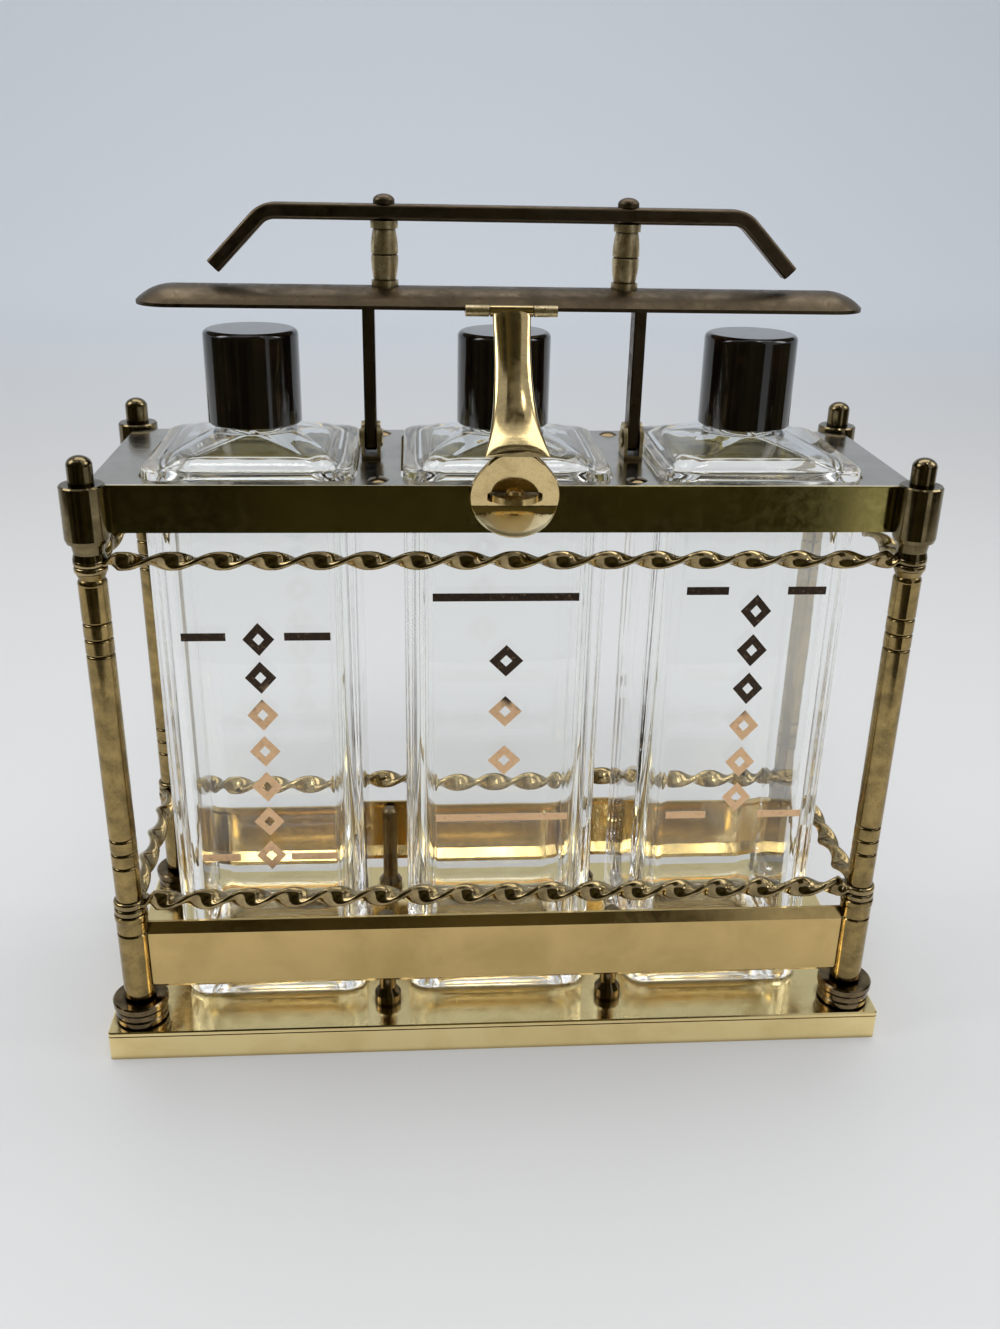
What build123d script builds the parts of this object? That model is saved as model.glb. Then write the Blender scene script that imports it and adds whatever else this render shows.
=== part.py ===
from build123d import *
import os
from math import cos, radians, sin, sqrt

# A three-bottle tantalus: an open brass frame whose hinged bar holds three
# stoppered square bottles in place, closed by a hasp over a lock eye.
# Millimetres. X runs along the length, Y to the back, Z up from the surface
# that the base stands on.

# ---- bottles and stoppers: the frame is set out around them ---------------
bottle_size = 72.0
bottle_gap = 16.5
bottle_body_height = 215.6
bottle_corner_radius = 8.0
bottle_foot_radius = 2.0
bottle_wall = 4.0
bottle_bottom = 9.0
bottle_rim_stand = 3.6
bottle_rim_edge = 1.6
bottle_shoulder_height = 8.4
bottle_neck_radius = 12.0
bottle_neck_bore = 8.0
bottle_neck_height = 26.0
window_clearance = 0.75
cap_radius = 16.5
cap_height = 32.3
cap_top_wall = 4.0
cap_edge_radius = 2.0
cap_foot_chamfer = 0.5
cap_seat_gap = 0.4
cap_neck_clearance = 0.3

# ---- top pan ----------------------------------------------------------------
pan_end_rail = 15.45
pan_side_rail = 4.85
pan_skirt_height = 16.5
pan_sheet = 1.0
pan_edge_radius = 0.7
rivet_radius = 3.65
rivet_height = 1.2
rivet_shank_radius = 1.8
rivet_inset = 2.2
rivet_clearance = 0.03

# ---- base ---------------------------------------------------------------------
base_end_margin = 11.5
base_side_margin = 11.0
base_height = 12.5
base_sheet = 1.2
base_corner_radius = 1.5
base_edge_chamfer = 0.5
base_seam_drop = 2.2
base_seam_width = 0.5
base_seam_depth = 0.35

# ---- posts, from the base up ------------------------------------------------
post_inset_x = 0.7
post_outset_y = 4.4
spigot_radius = 2.5
post_bore_clearance = 0.05
collar_radius = 10.5
collar_height = 9.8
collar_disc_height = 3.3
collar_step = 0.6
tube_radius = 5.9
tube_lip_radius = 6.2
tube_lip_height = 2.2
tube_groove_depth = 0.5
tube_groove_width = 1.2
tube_groove_drop = 8.2
rod_radius = 4.9
rod_groove_width = 1.5
rod_groove_depth = 0.6
rod_groove_pitch = 5.85
rod_groove_count = 3
rod_top_groove_drop = 17.8
rod_foot_groove_rise = 14.7
rod_cone_radius = 5.2
rod_cone_height = 2.2
rod_waist_depth = 0.6
rod_shoulder_height = 2.0
rod_edge = 0.4
neck_radius = 5.6
sleeve_radius = 7.4
sleeve_chamfer = 1.4
sleeve_height = 19.5
sleeve_stand = 1.6
finial_radius = 4.2
finial_height = 9.4
nut_across_flats = 8.0
nut_height = 3.2

# ---- twisted bars -------------------------------------------------------------
lower_bar_width = 7.8
lower_bar_thickness = 3.1
lower_bar_rise = 10.5
upper_bar_width = 6.4
upper_bar_thickness = 2.4
upper_bar_drop = 8.4
lower_eyelet_radius = 6.0
upper_eyelet_radius = 5.6
long_bar_half_turns = 16
short_bar_half_turns = 4
half_turn_angle = -180  # a left-handed twist
eyelet_neck = 6.5

# ---- lower bands and the short divider posts ----------------------------------
band_rise = 12.7
band_height = 29.8
band_depth = 4.4
band_sheet = 1.1
band_bevel = 3.4
band_corner_radius = 4.0
band_tube_clearance = 0.03
divider_radius = 3.3
divider_foot_radius = 5.2
divider_foot_height = 4.0
divider_cone_height = 3.0
divider_spigot_radius = 1.6
divider_top_drop = 1.0
divider_top_chamfer = 1.2

# ---- lid bar, its arms and pivots ----------------------------------------------
pivot_rise = 6.5
arm_offset = 3.25
arm_width = 4.2
arm_depth = 9.0
arm_chamfer = 0.5
arm_tenon_length = 2.5
arm_tenon_size = 2.6
tenon_clearance = 0.04
pin_radius = 1.6
pin_running_clearance = 0.05
pin_head_radius = 3.3
pin_head_height = 0.9
pin_head_chamfer = 0.4
ear_thickness = 1.2
ear_depth = 12.0
ear_arm_gap = 0.1
clevis_floor = 1.2
lid_overhang = 38.0
lid_width = 26.0
lid_cap_gap = 8.3
lid_lip = 1.2
lid_dome = 5.3

# ---- carrying handle -------------------------------------------------------------
pillar_x = 41.6
pillar_radius = 4.65
pillar_height = 21.8
pillar_waist_radius = 3.8
pillar_swell = 0.25
pillar_groove_width = 0.9
pillar_groove_depth = 0.5
pillar_collar = 2.4
pillar_seat_sink = 0.6
handle_half_length = 99.5
handle_thickness = 5.3
handle_depth = 7.6
handle_bend_radius = 9.0
handle_end_drop = 18.0
handle_end_run = 17.8
handle_edge_radius = 1.4
stud_radius = 1.75
stud_length = 3.0
stud_clearance = 0.05
dome_nut_radius = 3.65
dome_nut_height = 3.2
dome_nut_foot = 1.0

# ---- hasp and lock eye -------------------------------------------------------------
hasp_x = 1.2
knuckle_radius = 1.9
hasp_knuckle_length = 14.6
leaf_knuckle_length = 8.0
knuckle_gap = 0.3
hinge_forward = 2.4
hinge_pin_radius = 0.9
leaf_thickness = 1.3
leaf_depth = 9.0
hasp_plate_radius = 15.0
hasp_plate_thickness = 1.8
hasp_tilt = 15.0
hasp_skirt_gap = 0.3
hasp_shoulder_width = 21.4
hasp_neck_rise = 17.2
hasp_foot_drop = 12.0
hasp_lip_bend = 60.0
hasp_lip_radius = 4.5
hasp_lip_start = 2.8
slot_width = 18.4
slot_height = 3.8
slot_corner_radius = 1.5
eye_width = 15.8
eye_thickness = 2.1
eye_reach = 8.0
eye_hole_radius = 3.1
eye_slot_clearance = 0.1
eye_leg_height = 11.0
eye_leg_thickness = 1.6
eye_rivet_radius = 1.4

# ---- values worked out from the sizes above ------------------------------------------
bottle_pitch = bottle_size + bottle_gap
window_size = bottle_size + 2 * window_clearance
pan_length = 2 * bottle_pitch + window_size + 2 * pan_end_rail
pan_depth = window_size + 2 * pan_side_rail
POST_X = pan_length / 2 - post_inset_x
POST_Y = pan_depth / 2 + post_outset_y
base_length = 2 * (POST_X + base_end_margin)
base_depth = 2 * (POST_Y + base_side_margin)
DIVIDER_X = bottle_pitch / 2
DIVIDER_Y = POST_Y - band_depth / 2 - divider_radius
RIVET_Y = window_size / 2 - rivet_inset
ARM_X = bottle_pitch / 2 + arm_offset
CORNERS = {"front_left": (-1, -1), "front_right": (1, -1), "back_left": (-1, 1), "back_right": (1, 1)}
SIDES = {"left": -1, "right": 1}
BOTTLES = {"left": -bottle_pitch, "middle": 0.0, "right": bottle_pitch}

rim_z = base_height + bottle_body_height
neck_z = rim_z + bottle_shoulder_height
bottle_top_z = neck_z + bottle_neck_height
cap_foot_z = neck_z + cap_seat_gap
cap_top_z = cap_foot_z + cap_height

pan_top_z = rim_z - bottle_rim_stand
pan_under_z = pan_top_z - pan_sheet
pan_bottom_z = pan_top_z - pan_skirt_height
skirt_front_y = -pan_depth / 2

post_bore = spigot_radius + post_bore_clearance
nut_foot_z = base_height - base_sheet - nut_height
collar_top_z = base_height + collar_height
band_bottom_z = base_height + band_rise
lower_bar_z = band_bottom_z + band_height + lower_bar_rise
lower_pair_z = lower_bar_z - 1.5 * lower_bar_thickness
tube_height = lower_pair_z - collar_top_z
rod_foot_z = lower_bar_z + lower_bar_thickness / 2
upper_bar_z = pan_bottom_z - upper_bar_drop
upper_pair_z = upper_bar_z - 1.5 * upper_bar_thickness
neck_foot_z = upper_bar_z + upper_bar_thickness / 2
sleeve_top_z = pan_top_z + sleeve_stand
sleeve_foot_z = sleeve_top_z - sleeve_height
finial_top_z = sleeve_top_z + finial_height

pivot_z = pan_top_z + pivot_rise
arm_bore = pin_radius + pin_running_clearance
clevis_gap = arm_width + 2 * ear_arm_gap
clevis_width = clevis_gap + 2 * ear_thickness
lid_length = 2 * (bottle_pitch + lid_overhang)
lid_under_z = cap_top_z + lid_cap_gap
lid_top_z = lid_under_z + lid_lip + lid_dome
dome_radius = (lid_width ** 2 / 4 + lid_dome ** 2) / (2 * lid_dome)
dome_axis_z = lid_top_z - dome_radius

pillar_foot_z = lid_top_z - pillar_seat_sink
handle_under_z = pillar_foot_z + pillar_height
handle_mid_z = handle_under_z + handle_thickness / 2
handle_top_z = handle_under_z + handle_thickness

hinge_y = -lid_width / 2 - hinge_forward
hinge_z = lid_under_z - leaf_thickness + 0.9 * knuckle_radius
hinge_bore = hinge_pin_radius + pin_running_clearance
plate_half = hasp_plate_thickness / 2
hasp_plate_y = (skirt_front_y - hasp_skirt_gap - plate_half
                - hasp_plate_radius * sin(radians(hasp_tilt)))
eye_top_z = pan_under_z
eye_mid_z = eye_top_z - eye_thickness / 2
eye_rivet_z = eye_top_z - 0.6 * eye_leg_height
hasp_plate_z = eye_mid_z


def rod_between(radius, z0, z1):
    """A plain round rod about Z."""
    return Pos(0, 0, z0) * extrude(Circle(radius), z1 - z0)


def turned(points):
    """A solid turned about Z from its half section, given as (radius, height) points."""
    profile = make_face(Polyline(*points, close=True))
    return revolve(Plane.XZ * profile, Axis.Z)


def lathe(start, *steps):
    """Turn a profile about Z: a step of one point is a line, and one of two points is an arc."""
    here = start
    edges = []
    for step in (*steps, [start]):
        edges.append(ThreePointArc(here, *step) if len(step) == 2 else Line(here, *step))
        here = step[-1]
    return revolve(Plane.XZ * make_face(edges), Axis.Z)


def x_rod(radius, x0, x1, y, z):
    """A round rod along X."""
    rod = extrude(Circle(radius), x1 - x0)
    return Pos(x0, y, z) * Rot(0, 90, 0) * rod


def y_rod(radius, y0, y1, x, z):
    """A round rod along Y."""
    rod = extrude(Circle(radius), y1 - y0)
    return Pos(x, y0, z) * Rot(-90, 0, 0) * rod


def block(x0, x1, y0, y1, z0, z1):
    """A plain block given by its limits."""
    centre = ((x0 + x1) / 2, (y0 + y1) / 2, (z0 + z1) / 2)
    return Pos(*centre) * Box(x1 - x0, y1 - y0, z1 - z0)


# ---- frame --------------------------------------------------------------


def base_pan():
    """The flat base: a sheet pan turned down at its four edges, with a seam line round them."""
    outline = RectangleRounded(base_length, base_depth, base_corner_radius)
    pan = extrude(outline, base_height)
    pan = chamfer(pan.faces().sort_by(Axis.Z)[-1].edges(), base_edge_chamfer)
    pan -= extrude(offset(outline, -base_sheet), base_height - base_sheet)
    seam = extrude(outline - offset(outline, -base_seam_depth), base_seam_width)
    pan -= Pos(0, 0, base_height - base_seam_drop) * seam
    for side_x, side_y in CORNERS.values():
        pan -= Pos(side_x * POST_X, side_y * POST_Y, 0) * rod_between(post_bore, 0, base_height)
        spigot = rod_between(divider_spigot_radius, 0, base_height)
        pan -= Pos(side_x * DIVIDER_X, side_y * DIVIDER_Y, 0) * spigot
    return pan


def foot_collar():
    """Three turned rings at the foot of a post: a bead, a disc and a wider disc."""
    disc_z = collar_top_z - collar_disc_height
    waist_z = base_height + (collar_height - collar_disc_height) / 2
    edge = collar_step
    points = [
        (post_bore, base_height),
        (collar_radius - 2.2 * edge, base_height),
        (collar_radius - edge, base_height + 1.6 * edge),
        (collar_radius - edge, waist_z - edge),
        (collar_radius - 2 * edge, waist_z),
        (collar_radius - edge, waist_z + edge),
        (collar_radius - edge, disc_z - edge),
        (collar_radius - 1.6 * edge, disc_z),
        (collar_radius - edge, disc_z),
        (collar_radius, disc_z + edge),
        (collar_radius, collar_top_z - edge),
        (collar_radius - edge, collar_top_z),
        (post_bore, collar_top_z),
    ]
    return turned(points)


def lower_tube():
    """The short thick tube between the foot collar and the lower twisted bars."""
    top_z = collar_top_z + tube_height
    groove_z = top_z - tube_groove_drop
    half = tube_groove_width / 2
    points = [
        (post_bore, collar_top_z),
        (tube_radius - 1.0, collar_top_z),
        (tube_radius, collar_top_z + 1.6),
        (tube_radius, groove_z - half),
        (tube_radius - tube_groove_depth, groove_z),
        (tube_radius, groove_z + half),
        (tube_radius, top_z - tube_lip_height - 1.0),
        (tube_lip_radius, top_z - tube_lip_height),
        (tube_lip_radius, top_z - 0.4),
        (tube_lip_radius - 0.4, top_z),
        (post_bore, top_z),
    ]
    return turned(points)


def post_rod():
    """The main rod of a post: a waisted head, beads turned near both ends, and a spigot at each end."""
    drops = [rod_top_groove_drop + index * rod_groove_pitch for index in range(rod_groove_count)]
    rises = [rod_foot_groove_rise + index * rod_groove_pitch for index in range(rod_groove_count)]
    grooves = [rod_foot_z + rise for rise in rises] + [upper_pair_z - drop for drop in reversed(drops)]
    half = rod_groove_width / 2
    radius = rod_radius
    steps = [[(radius - rod_edge, rod_foot_z)], [(radius, rod_foot_z + rod_edge)]]
    for groove_z in grooves:
        floor = radius - rod_groove_depth
        shoulder = radius - 0.2 * rod_groove_depth
        steps.append([(radius, groove_z - half)])
        steps.append([(shoulder, groove_z - 0.6 * half), (floor, groove_z)])
        steps.append([(shoulder, groove_z + 0.6 * half), (radius, groove_z + half)])
    waist_z = upper_pair_z - rod_cone_height
    waist = radius - rod_waist_depth
    shoulder = (radius - 0.2 * rod_waist_depth, waist_z - 0.35 * rod_shoulder_height)
    steps.append([(radius, waist_z - rod_shoulder_height)])
    steps.append([shoulder, (waist, waist_z)])
    steps += [[(rod_cone_radius, upper_pair_z)], [(0, upper_pair_z)]]
    rod = lathe((0, rod_foot_z), *steps)
    rod += rod_between(spigot_radius, nut_foot_z, rod_foot_z)
    rod += rod_between(spigot_radius, upper_pair_z, sleeve_top_z + finial_height / 2)
    return rod


def base_nuts():
    """The four hexagon nuts that clamp the posts under the base."""
    nut_radius = nut_across_flats / sqrt(3)
    nuts = []
    for side_x, side_y in CORNERS.values():
        hexagon = RegularPolygon(nut_radius, 6) - Circle(post_bore)
        place = Pos(side_x * POST_X, side_y * POST_Y, nut_foot_z)
        nuts.append(place * extrude(hexagon, nut_height))
    return nuts


def corner_sleeve():
    """The turned sleeve at a corner of the top pan, with the tapered neck below it."""
    flare_z = sleeve_foot_z
    points = [
        (post_bore, neck_foot_z),
        (neck_radius, neck_foot_z),
        (neck_radius - 0.5, neck_foot_z + 0.35 * (flare_z - neck_foot_z)),
        (neck_radius + 0.1, flare_z),
        (sleeve_radius - sleeve_chamfer / 3, flare_z),
        (sleeve_radius, flare_z + sleeve_chamfer),
        (sleeve_radius, sleeve_top_z - 0.5),
        (sleeve_radius - 0.5, sleeve_top_z),
        (post_bore, sleeve_top_z),
    ]
    return turned(points)


def finial():
    """The round-topped pin that screws down on top of a sleeve."""
    straight = finial_height - 0.75 * finial_radius
    pin = rod_between(finial_radius, sleeve_top_z, sleeve_top_z + straight)
    dome = Pos(0, 0, sleeve_top_z + straight) * scale(Sphere(finial_radius), by=(1, 1, 0.75))
    pin += dome
    pin &= block(-finial_radius, finial_radius, -finial_radius, finial_radius, sleeve_top_z, finial_top_z)
    pin -= rod_between(post_bore, sleeve_top_z, sleeve_top_z + finial_height / 2 + post_bore_clearance)
    return pin


def twisted_bar(spacing, width, thickness, eyelet_radius, half_turns):
    """A flat bar twisted between two flattened eyelets, along X and centred on the origin."""
    neck_end = eyelet_radius + eyelet_neck
    twist_length = spacing - 2 * neck_end
    start = Plane(origin=(-twist_length / 2, 0, 0), x_dir=(0, 1, 0), z_dir=(1, 0, 0))
    section = (start * Rectangle(width, thickness)).faces()[0]
    bar = Solid.extrude_linear_with_rotation(
        section, (-twist_length / 2, 0, 0), (twist_length, 0, 0), half_turn_angle * half_turns)
    for side in (-1, 1):
        post = side * spacing / 2
        flat = Circle(eyelet_radius) + Pos(-side * neck_end / 2, 0) * Rectangle(neck_end, width)
        flat -= Circle(post_bore)
        bar += Pos(post, 0, -thickness / 2) * extrude(flat, thickness)
    return bar


def band():
    """A sheet band between two posts, bevelled all round, its face to the front."""
    length = 2 * (POST_X - tube_radius) + 2 * band_bevel
    height = band_height
    sketch = Rectangle(length, height)
    foot_corners = sketch.vertices().sort_by(Axis.Y)[:2]
    sketch = fillet(foot_corners, band_corner_radius)
    bevel_angle = 45
    rise = band_depth - band_sheet
    rim = extrude(sketch, band_sheet)
    face = Pos(0, 0, band_sheet) * extrude(sketch, rise, taper=bevel_angle)
    shell = rim + face
    inner = offset(sketch, -band_sheet * 1.6)
    hollow = extrude(inner, rise, taper=bevel_angle)
    shell -= hollow
    place = Pos(0, -POST_Y + band_depth / 2, band_bottom_z + height / 2) * Rot(90, 0, 0)
    shell = place * shell
    for side in (-1, 1):
        notch = rod_between(tube_radius + band_tube_clearance, collar_top_z, lower_pair_z)
        shell -= Pos(side * POST_X, -POST_Y, 0) * notch
    return shell


def divider_post():
    """A short dark post behind a band, with a coned foot and a spigot through the base."""
    foot_z = base_height + divider_foot_height
    cone_z = foot_z + divider_cone_height
    top_z = band_bottom_z + band_height - divider_top_drop
    points = [
        (0, base_height - base_sheet),
        (divider_spigot_radius, base_height - base_sheet),
        (divider_spigot_radius, base_height),
        (divider_foot_radius, base_height),
        (divider_foot_radius, foot_z),
        (divider_radius, cone_z),
        (divider_radius, top_z - divider_top_chamfer),
        (divider_radius - divider_top_chamfer, top_z),
        (0, top_z),
    ]
    return turned(points)


def top_pan():
    """The top pan: a plate with a turned-down skirt, three windows and notched corners."""
    outline = Rectangle(pan_length, pan_depth)
    pan = Pos(0, 0, pan_bottom_z) * extrude(outline, pan_skirt_height)
    pan = fillet(pan.faces().sort_by(Axis.Z)[-1].edges(), pan_edge_radius)
    inner = Rectangle(pan_length - 2 * pan_sheet, pan_depth - 2 * pan_sheet)
    pan -= Pos(0, 0, pan_bottom_z) * extrude(inner, pan_skirt_height - pan_sheet)
    for bottle_x in BOTTLES.values():
        window = RectangleRounded(window_size, window_size, bottle_corner_radius + window_clearance)
        pan -= Pos(bottle_x, 0, pan_under_z) * extrude(window, pan_sheet)
    for side_x, side_y in CORNERS.values():
        place = Pos(side_x * POST_X, side_y * POST_Y, 0)
        pan -= place * rod_between(sleeve_radius + post_bore_clearance, pan_bottom_z, pan_top_z)
        hole = rod_between(rivet_shank_radius + rivet_clearance, pan_under_z, pan_top_z)
        pan -= Pos(side_x * DIVIDER_X, side_y * RIVET_Y, 0) * hole
    half_slot = eye_width / 2 + eye_slot_clearance
    pan -= block(
        hasp_x - half_slot, hasp_x + half_slot,
        skirt_front_y, skirt_front_y + pan_sheet, eye_top_z - eye_thickness - eye_slot_clearance, eye_top_z)
    pan -= y_rod(eye_rivet_radius, skirt_front_y, skirt_front_y + pan_sheet, hasp_x, eye_rivet_z)
    return pan


def plate_rivets():
    """The four round-headed rivets in the plate between the bottles."""
    rivets = []
    head_radius = (rivet_radius ** 2 + rivet_height ** 2) / (2 * rivet_height)
    for side_x, side_y in CORNERS.values():
        ball = Pos(0, 0, pan_top_z + rivet_height - head_radius) * Sphere(head_radius)
        head = ball & rod_between(rivet_radius, pan_top_z, pan_top_z + rivet_height)
        rivet = head + rod_between(rivet_shank_radius, pan_under_z, pan_top_z)
        rivets.append(Pos(side_x * DIVIDER_X, side_y * RIVET_Y, 0) * rivet)
    return rivets


# ---- bottles ----------------------------------------------------------------


def squircle(size, radius):
    """A square with rounded corners, used for every section of a bottle."""
    return RectangleRounded(size, size, radius)


def bottle():
    """A thick square glass bottle with a four-sided shoulder and a short round neck."""
    edge = bottle_rim_edge
    neck_size = 2 * bottle_neck_radius
    body = extrude(squircle(bottle_size, bottle_corner_radius), rim_z - base_height - edge)
    body = Pos(0, 0, base_height) * body
    body = fillet(body.faces().sort_by(Axis.Z)[0].edges(), bottle_foot_radius)
    ledge = loft([
        Pos(0, 0, rim_z - edge) * squircle(bottle_size, bottle_corner_radius),
        Pos(0, 0, rim_z) * squircle(bottle_size - 2 * edge, bottle_corner_radius - edge / 2),
    ])
    shoulder = loft([
        Pos(0, 0, rim_z) * squircle(bottle_size - 2 * edge, bottle_corner_radius - edge / 2),
        Pos(0, 0, neck_z) * squircle(neck_size, bottle_neck_radius - 0.05),
    ])
    neck = rod_between(bottle_neck_radius, neck_z, bottle_top_z)
    glass = body + ledge + shoulder + neck
    inner_size = bottle_size - 2 * bottle_wall
    inner_corner = bottle_corner_radius - bottle_wall / 2
    floor_z = base_height + bottle_bottom
    inner_rim_z = rim_z - bottle_wall
    inner = Pos(0, 0, floor_z) * extrude(squircle(inner_size, inner_corner), inner_rim_z - floor_z)
    inner += loft([
        Pos(0, 0, inner_rim_z) * squircle(inner_size, inner_corner),
        Pos(0, 0, neck_z - 2.0) * squircle(2 * bottle_neck_bore, bottle_neck_bore - 0.05),
    ])
    inner += rod_between(bottle_neck_bore, neck_z - 2.0, bottle_top_z)
    return glass - inner


def cap():
    """A glossy round cap with a rounded top edge, bored to turn on the bottle's neck."""
    body = rod_between(cap_radius, cap_foot_z, cap_top_z)
    top_edge = body.edges().filter_by(GeomType.CIRCLE).sort_by(Axis.Z)[-1]
    body = fillet(top_edge, cap_edge_radius)
    foot_edge = body.edges().filter_by(GeomType.CIRCLE).sort_by(Axis.Z)[0]
    body = chamfer(foot_edge, cap_foot_chamfer)
    bore = rod_between(bottle_neck_radius + cap_neck_clearance, cap_foot_z, cap_top_z - cap_top_wall)
    return body - bore


# ---- lid bar, arms, pivots and handle -----------------------------------------


def clevis(side):
    """A small fork on the plate: two ears on a floor, bored for the pivot pin."""
    x = side * ARM_X
    half = clevis_width / 2
    fork = block(-half, half, -ear_depth / 2, ear_depth / 2, pan_top_z, pivot_z)
    fork += x_rod(ear_depth / 2, -half, half, 0, pivot_z)
    gap = clevis_gap / 2
    fork -= block(-gap, gap, -ear_depth, ear_depth, pan_top_z + clevis_floor, pivot_z + ear_depth)
    fork -= x_rod(pin_radius, -half, half, 0, pivot_z)
    return Pos(x, 0, 0) * fork


def pivot_pin(side):
    """The pin through a clevis and its arm, headed on both sides."""
    half = clevis_width / 2
    pin = x_rod(pin_radius, -half, half, 0, pivot_z)
    for end in (-1, 1):
        inner = end * half
        outer = end * (half + pin_head_height)
        head = x_rod(pin_head_radius, min(inner, outer), max(inner, outer), 0, pivot_z)
        rim = head.edges().filter_by(GeomType.CIRCLE).sort_by(Axis.X)
        head = chamfer(rim[-1] if end > 0 else rim[0], pin_head_chamfer)
        pin += head
    return Pos(side * ARM_X, 0, 0) * pin


def lid_arm(side):
    """A flat arm from its pivot up to the lid bar, with a rounded foot and a tenon."""
    half = arm_width / 2
    arm = block(-half, half, -arm_depth / 2, arm_depth / 2, pivot_z, lid_under_z)
    arm += x_rod(arm_depth / 2, -half, half, 0, pivot_z)
    upright = arm.edges().filter_by(Axis.Z)
    arm = chamfer(upright, arm_chamfer)
    tenon = arm_tenon_size / 2
    arm += block(-tenon, tenon, -tenon, tenon, lid_under_z, lid_under_z + arm_tenon_length)
    arm -= x_rod(arm_bore, -half, half, 0, pivot_z)
    return Pos(side * ARM_X, 0, 0) * arm


def lid_bar():
    """The long domed bar over the stoppers, flat below, with rounded spoon-like ends."""
    half = lid_width / 2
    straight = lid_length / 2 - half
    edge_z = lid_under_z + lid_lip
    crown = ThreePointArc((-half, edge_z), (0, lid_top_z), (half, edge_z))
    rim = Polyline((half, edge_z), (half, lid_under_z), (-half, lid_under_z), (-half, edge_z))
    section = make_face(crown + rim)
    bar = extrude(Plane.YZ * section, straight, both=True)
    quarter_crown = ThreePointArc(
        (0, lid_top_z), (half / 2, dome_axis_z + sqrt(dome_radius ** 2 - half ** 2 / 4)), (half, edge_z))
    quarter_rim = Polyline((half, edge_z), (half, lid_under_z), (0, lid_under_z), (0, lid_top_z))
    end = revolve(Plane.XZ * make_face(quarter_crown + quarter_rim), Axis.Z)
    for side in SIDES.values():
        bar += Pos(side * straight, 0, 0) * end
        socket = arm_tenon_size / 2 + tenon_clearance
        depth = arm_tenon_length + tenon_clearance
        bar -= Pos(side * ARM_X, 0, 0) * block(
            -socket, socket, -socket, socket, lid_under_z, lid_under_z + depth)
        seat = Pos(side * pillar_x, 0, 0)
        bar -= seat * rod_between(pillar_radius + stud_clearance, pillar_foot_z, lid_top_z)
        bar -= seat * rod_between(stud_radius + stud_clearance, pillar_foot_z - stud_length, pillar_foot_z)
    return bar


def handle_pillar(side):
    """A turned pillar: a collar, two barrels that swell to a fine groove, a collar and a stud."""
    foot_z = pillar_foot_z
    top_z = handle_under_z
    mid_z = (foot_z + top_z) / 2
    wide = pillar_radius
    waist = pillar_waist_radius
    swell = (wide + waist) / 2 + pillar_swell
    low_collar_z = foot_z + pillar_collar
    top_collar_z = top_z - pillar_collar
    half = pillar_groove_width / 2
    pillar = lathe(
        (0, foot_z), [(wide, foot_z)], [(wide, low_collar_z)], [(waist, low_collar_z)],
        [(swell, (low_collar_z + mid_z) / 2), (wide, mid_z - half)],
        [(wide - pillar_groove_depth, mid_z)], [(wide, mid_z + half)],
        [(swell, (top_collar_z + mid_z) / 2), (waist, top_collar_z)],
        [(wide, top_collar_z)], [(wide, top_z)], [(0, top_z)])
    pillar += rod_between(stud_radius, top_z, handle_top_z + dome_nut_height / 2)
    pillar += rod_between(stud_radius, foot_z - stud_length, foot_z)
    return Pos(side * pillar_x, 0, 0) * pillar


def handle_bar():
    """The carrying handle: a flat-sided bar with both ends bent down."""
    bend_x = handle_half_length - handle_end_run
    end_z = handle_mid_z - handle_end_drop
    route = FilletPolyline(
        (-handle_half_length, 0, end_z), (-bend_x, 0, handle_mid_z),
        (bend_x, 0, handle_mid_z), (handle_half_length, 0, end_z),
        radius=handle_bend_radius)
    start = Plane(origin=route @ 0, x_dir=(0, 1, 0), z_dir=route % 0)
    section = start * RectangleRounded(handle_depth, handle_thickness, handle_edge_radius)
    bar = sweep(section, path=route)
    for side in SIDES.values():
        hole = rod_between(stud_radius + stud_clearance, handle_under_z - 1, handle_top_z + 1)
        bar -= Pos(side * pillar_x, 0, 0) * hole
    return bar


def dome_nut(side):
    """The domed nut on top of a pillar's stud."""
    foot = rod_between(dome_nut_radius, handle_top_z, handle_top_z + dome_nut_foot)
    dome = Pos(0, 0, handle_top_z + dome_nut_foot) * scale(
        Sphere(dome_nut_radius), by=(1, 1, (dome_nut_height - dome_nut_foot) / dome_nut_radius))
    dome &= rod_between(dome_nut_radius, handle_top_z + dome_nut_foot, handle_top_z + dome_nut_height)
    nut = foot + dome
    nut -= rod_between(stud_radius, handle_top_z, handle_top_z + dome_nut_height / 2)
    return Pos(side * pillar_x, 0, 0) * nut


# ---- hasp and lock eye ----------------------------------------------------------


def hinge_leaf():
    """The leaf under the lid's front edge, with the two outer knuckles."""
    inner = hasp_knuckle_length / 2 + knuckle_gap
    outer = inner + leaf_knuckle_length
    leaf = block(-outer, outer, hinge_y + knuckle_radius * 0.4, -lid_width / 2 + leaf_depth,
                 lid_under_z - leaf_thickness, lid_under_z)
    leaf -= block(-inner, inner, hinge_y - 2 * knuckle_radius, hinge_y + knuckle_radius + 0.4,
                  lid_under_z - 2 * leaf_thickness, lid_under_z)
    for x0, x1 in ((-outer, -inner), (inner, outer)):
        leaf += x_rod(knuckle_radius, x0, x1, hinge_y, hinge_z)
    leaf -= x_rod(hinge_pin_radius, -outer, outer, hinge_y, hinge_z)
    return Pos(hasp_x, 0, 0) * leaf


def hinge_pin():
    """The thin pin of the hasp's hinge."""
    outer = hasp_knuckle_length / 2 + knuckle_gap + leaf_knuckle_length
    pin = x_rod(hinge_pin_radius, -outer, outer, hinge_y, hinge_z)
    return Pos(hasp_x, 0, 0) * pin


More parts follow.
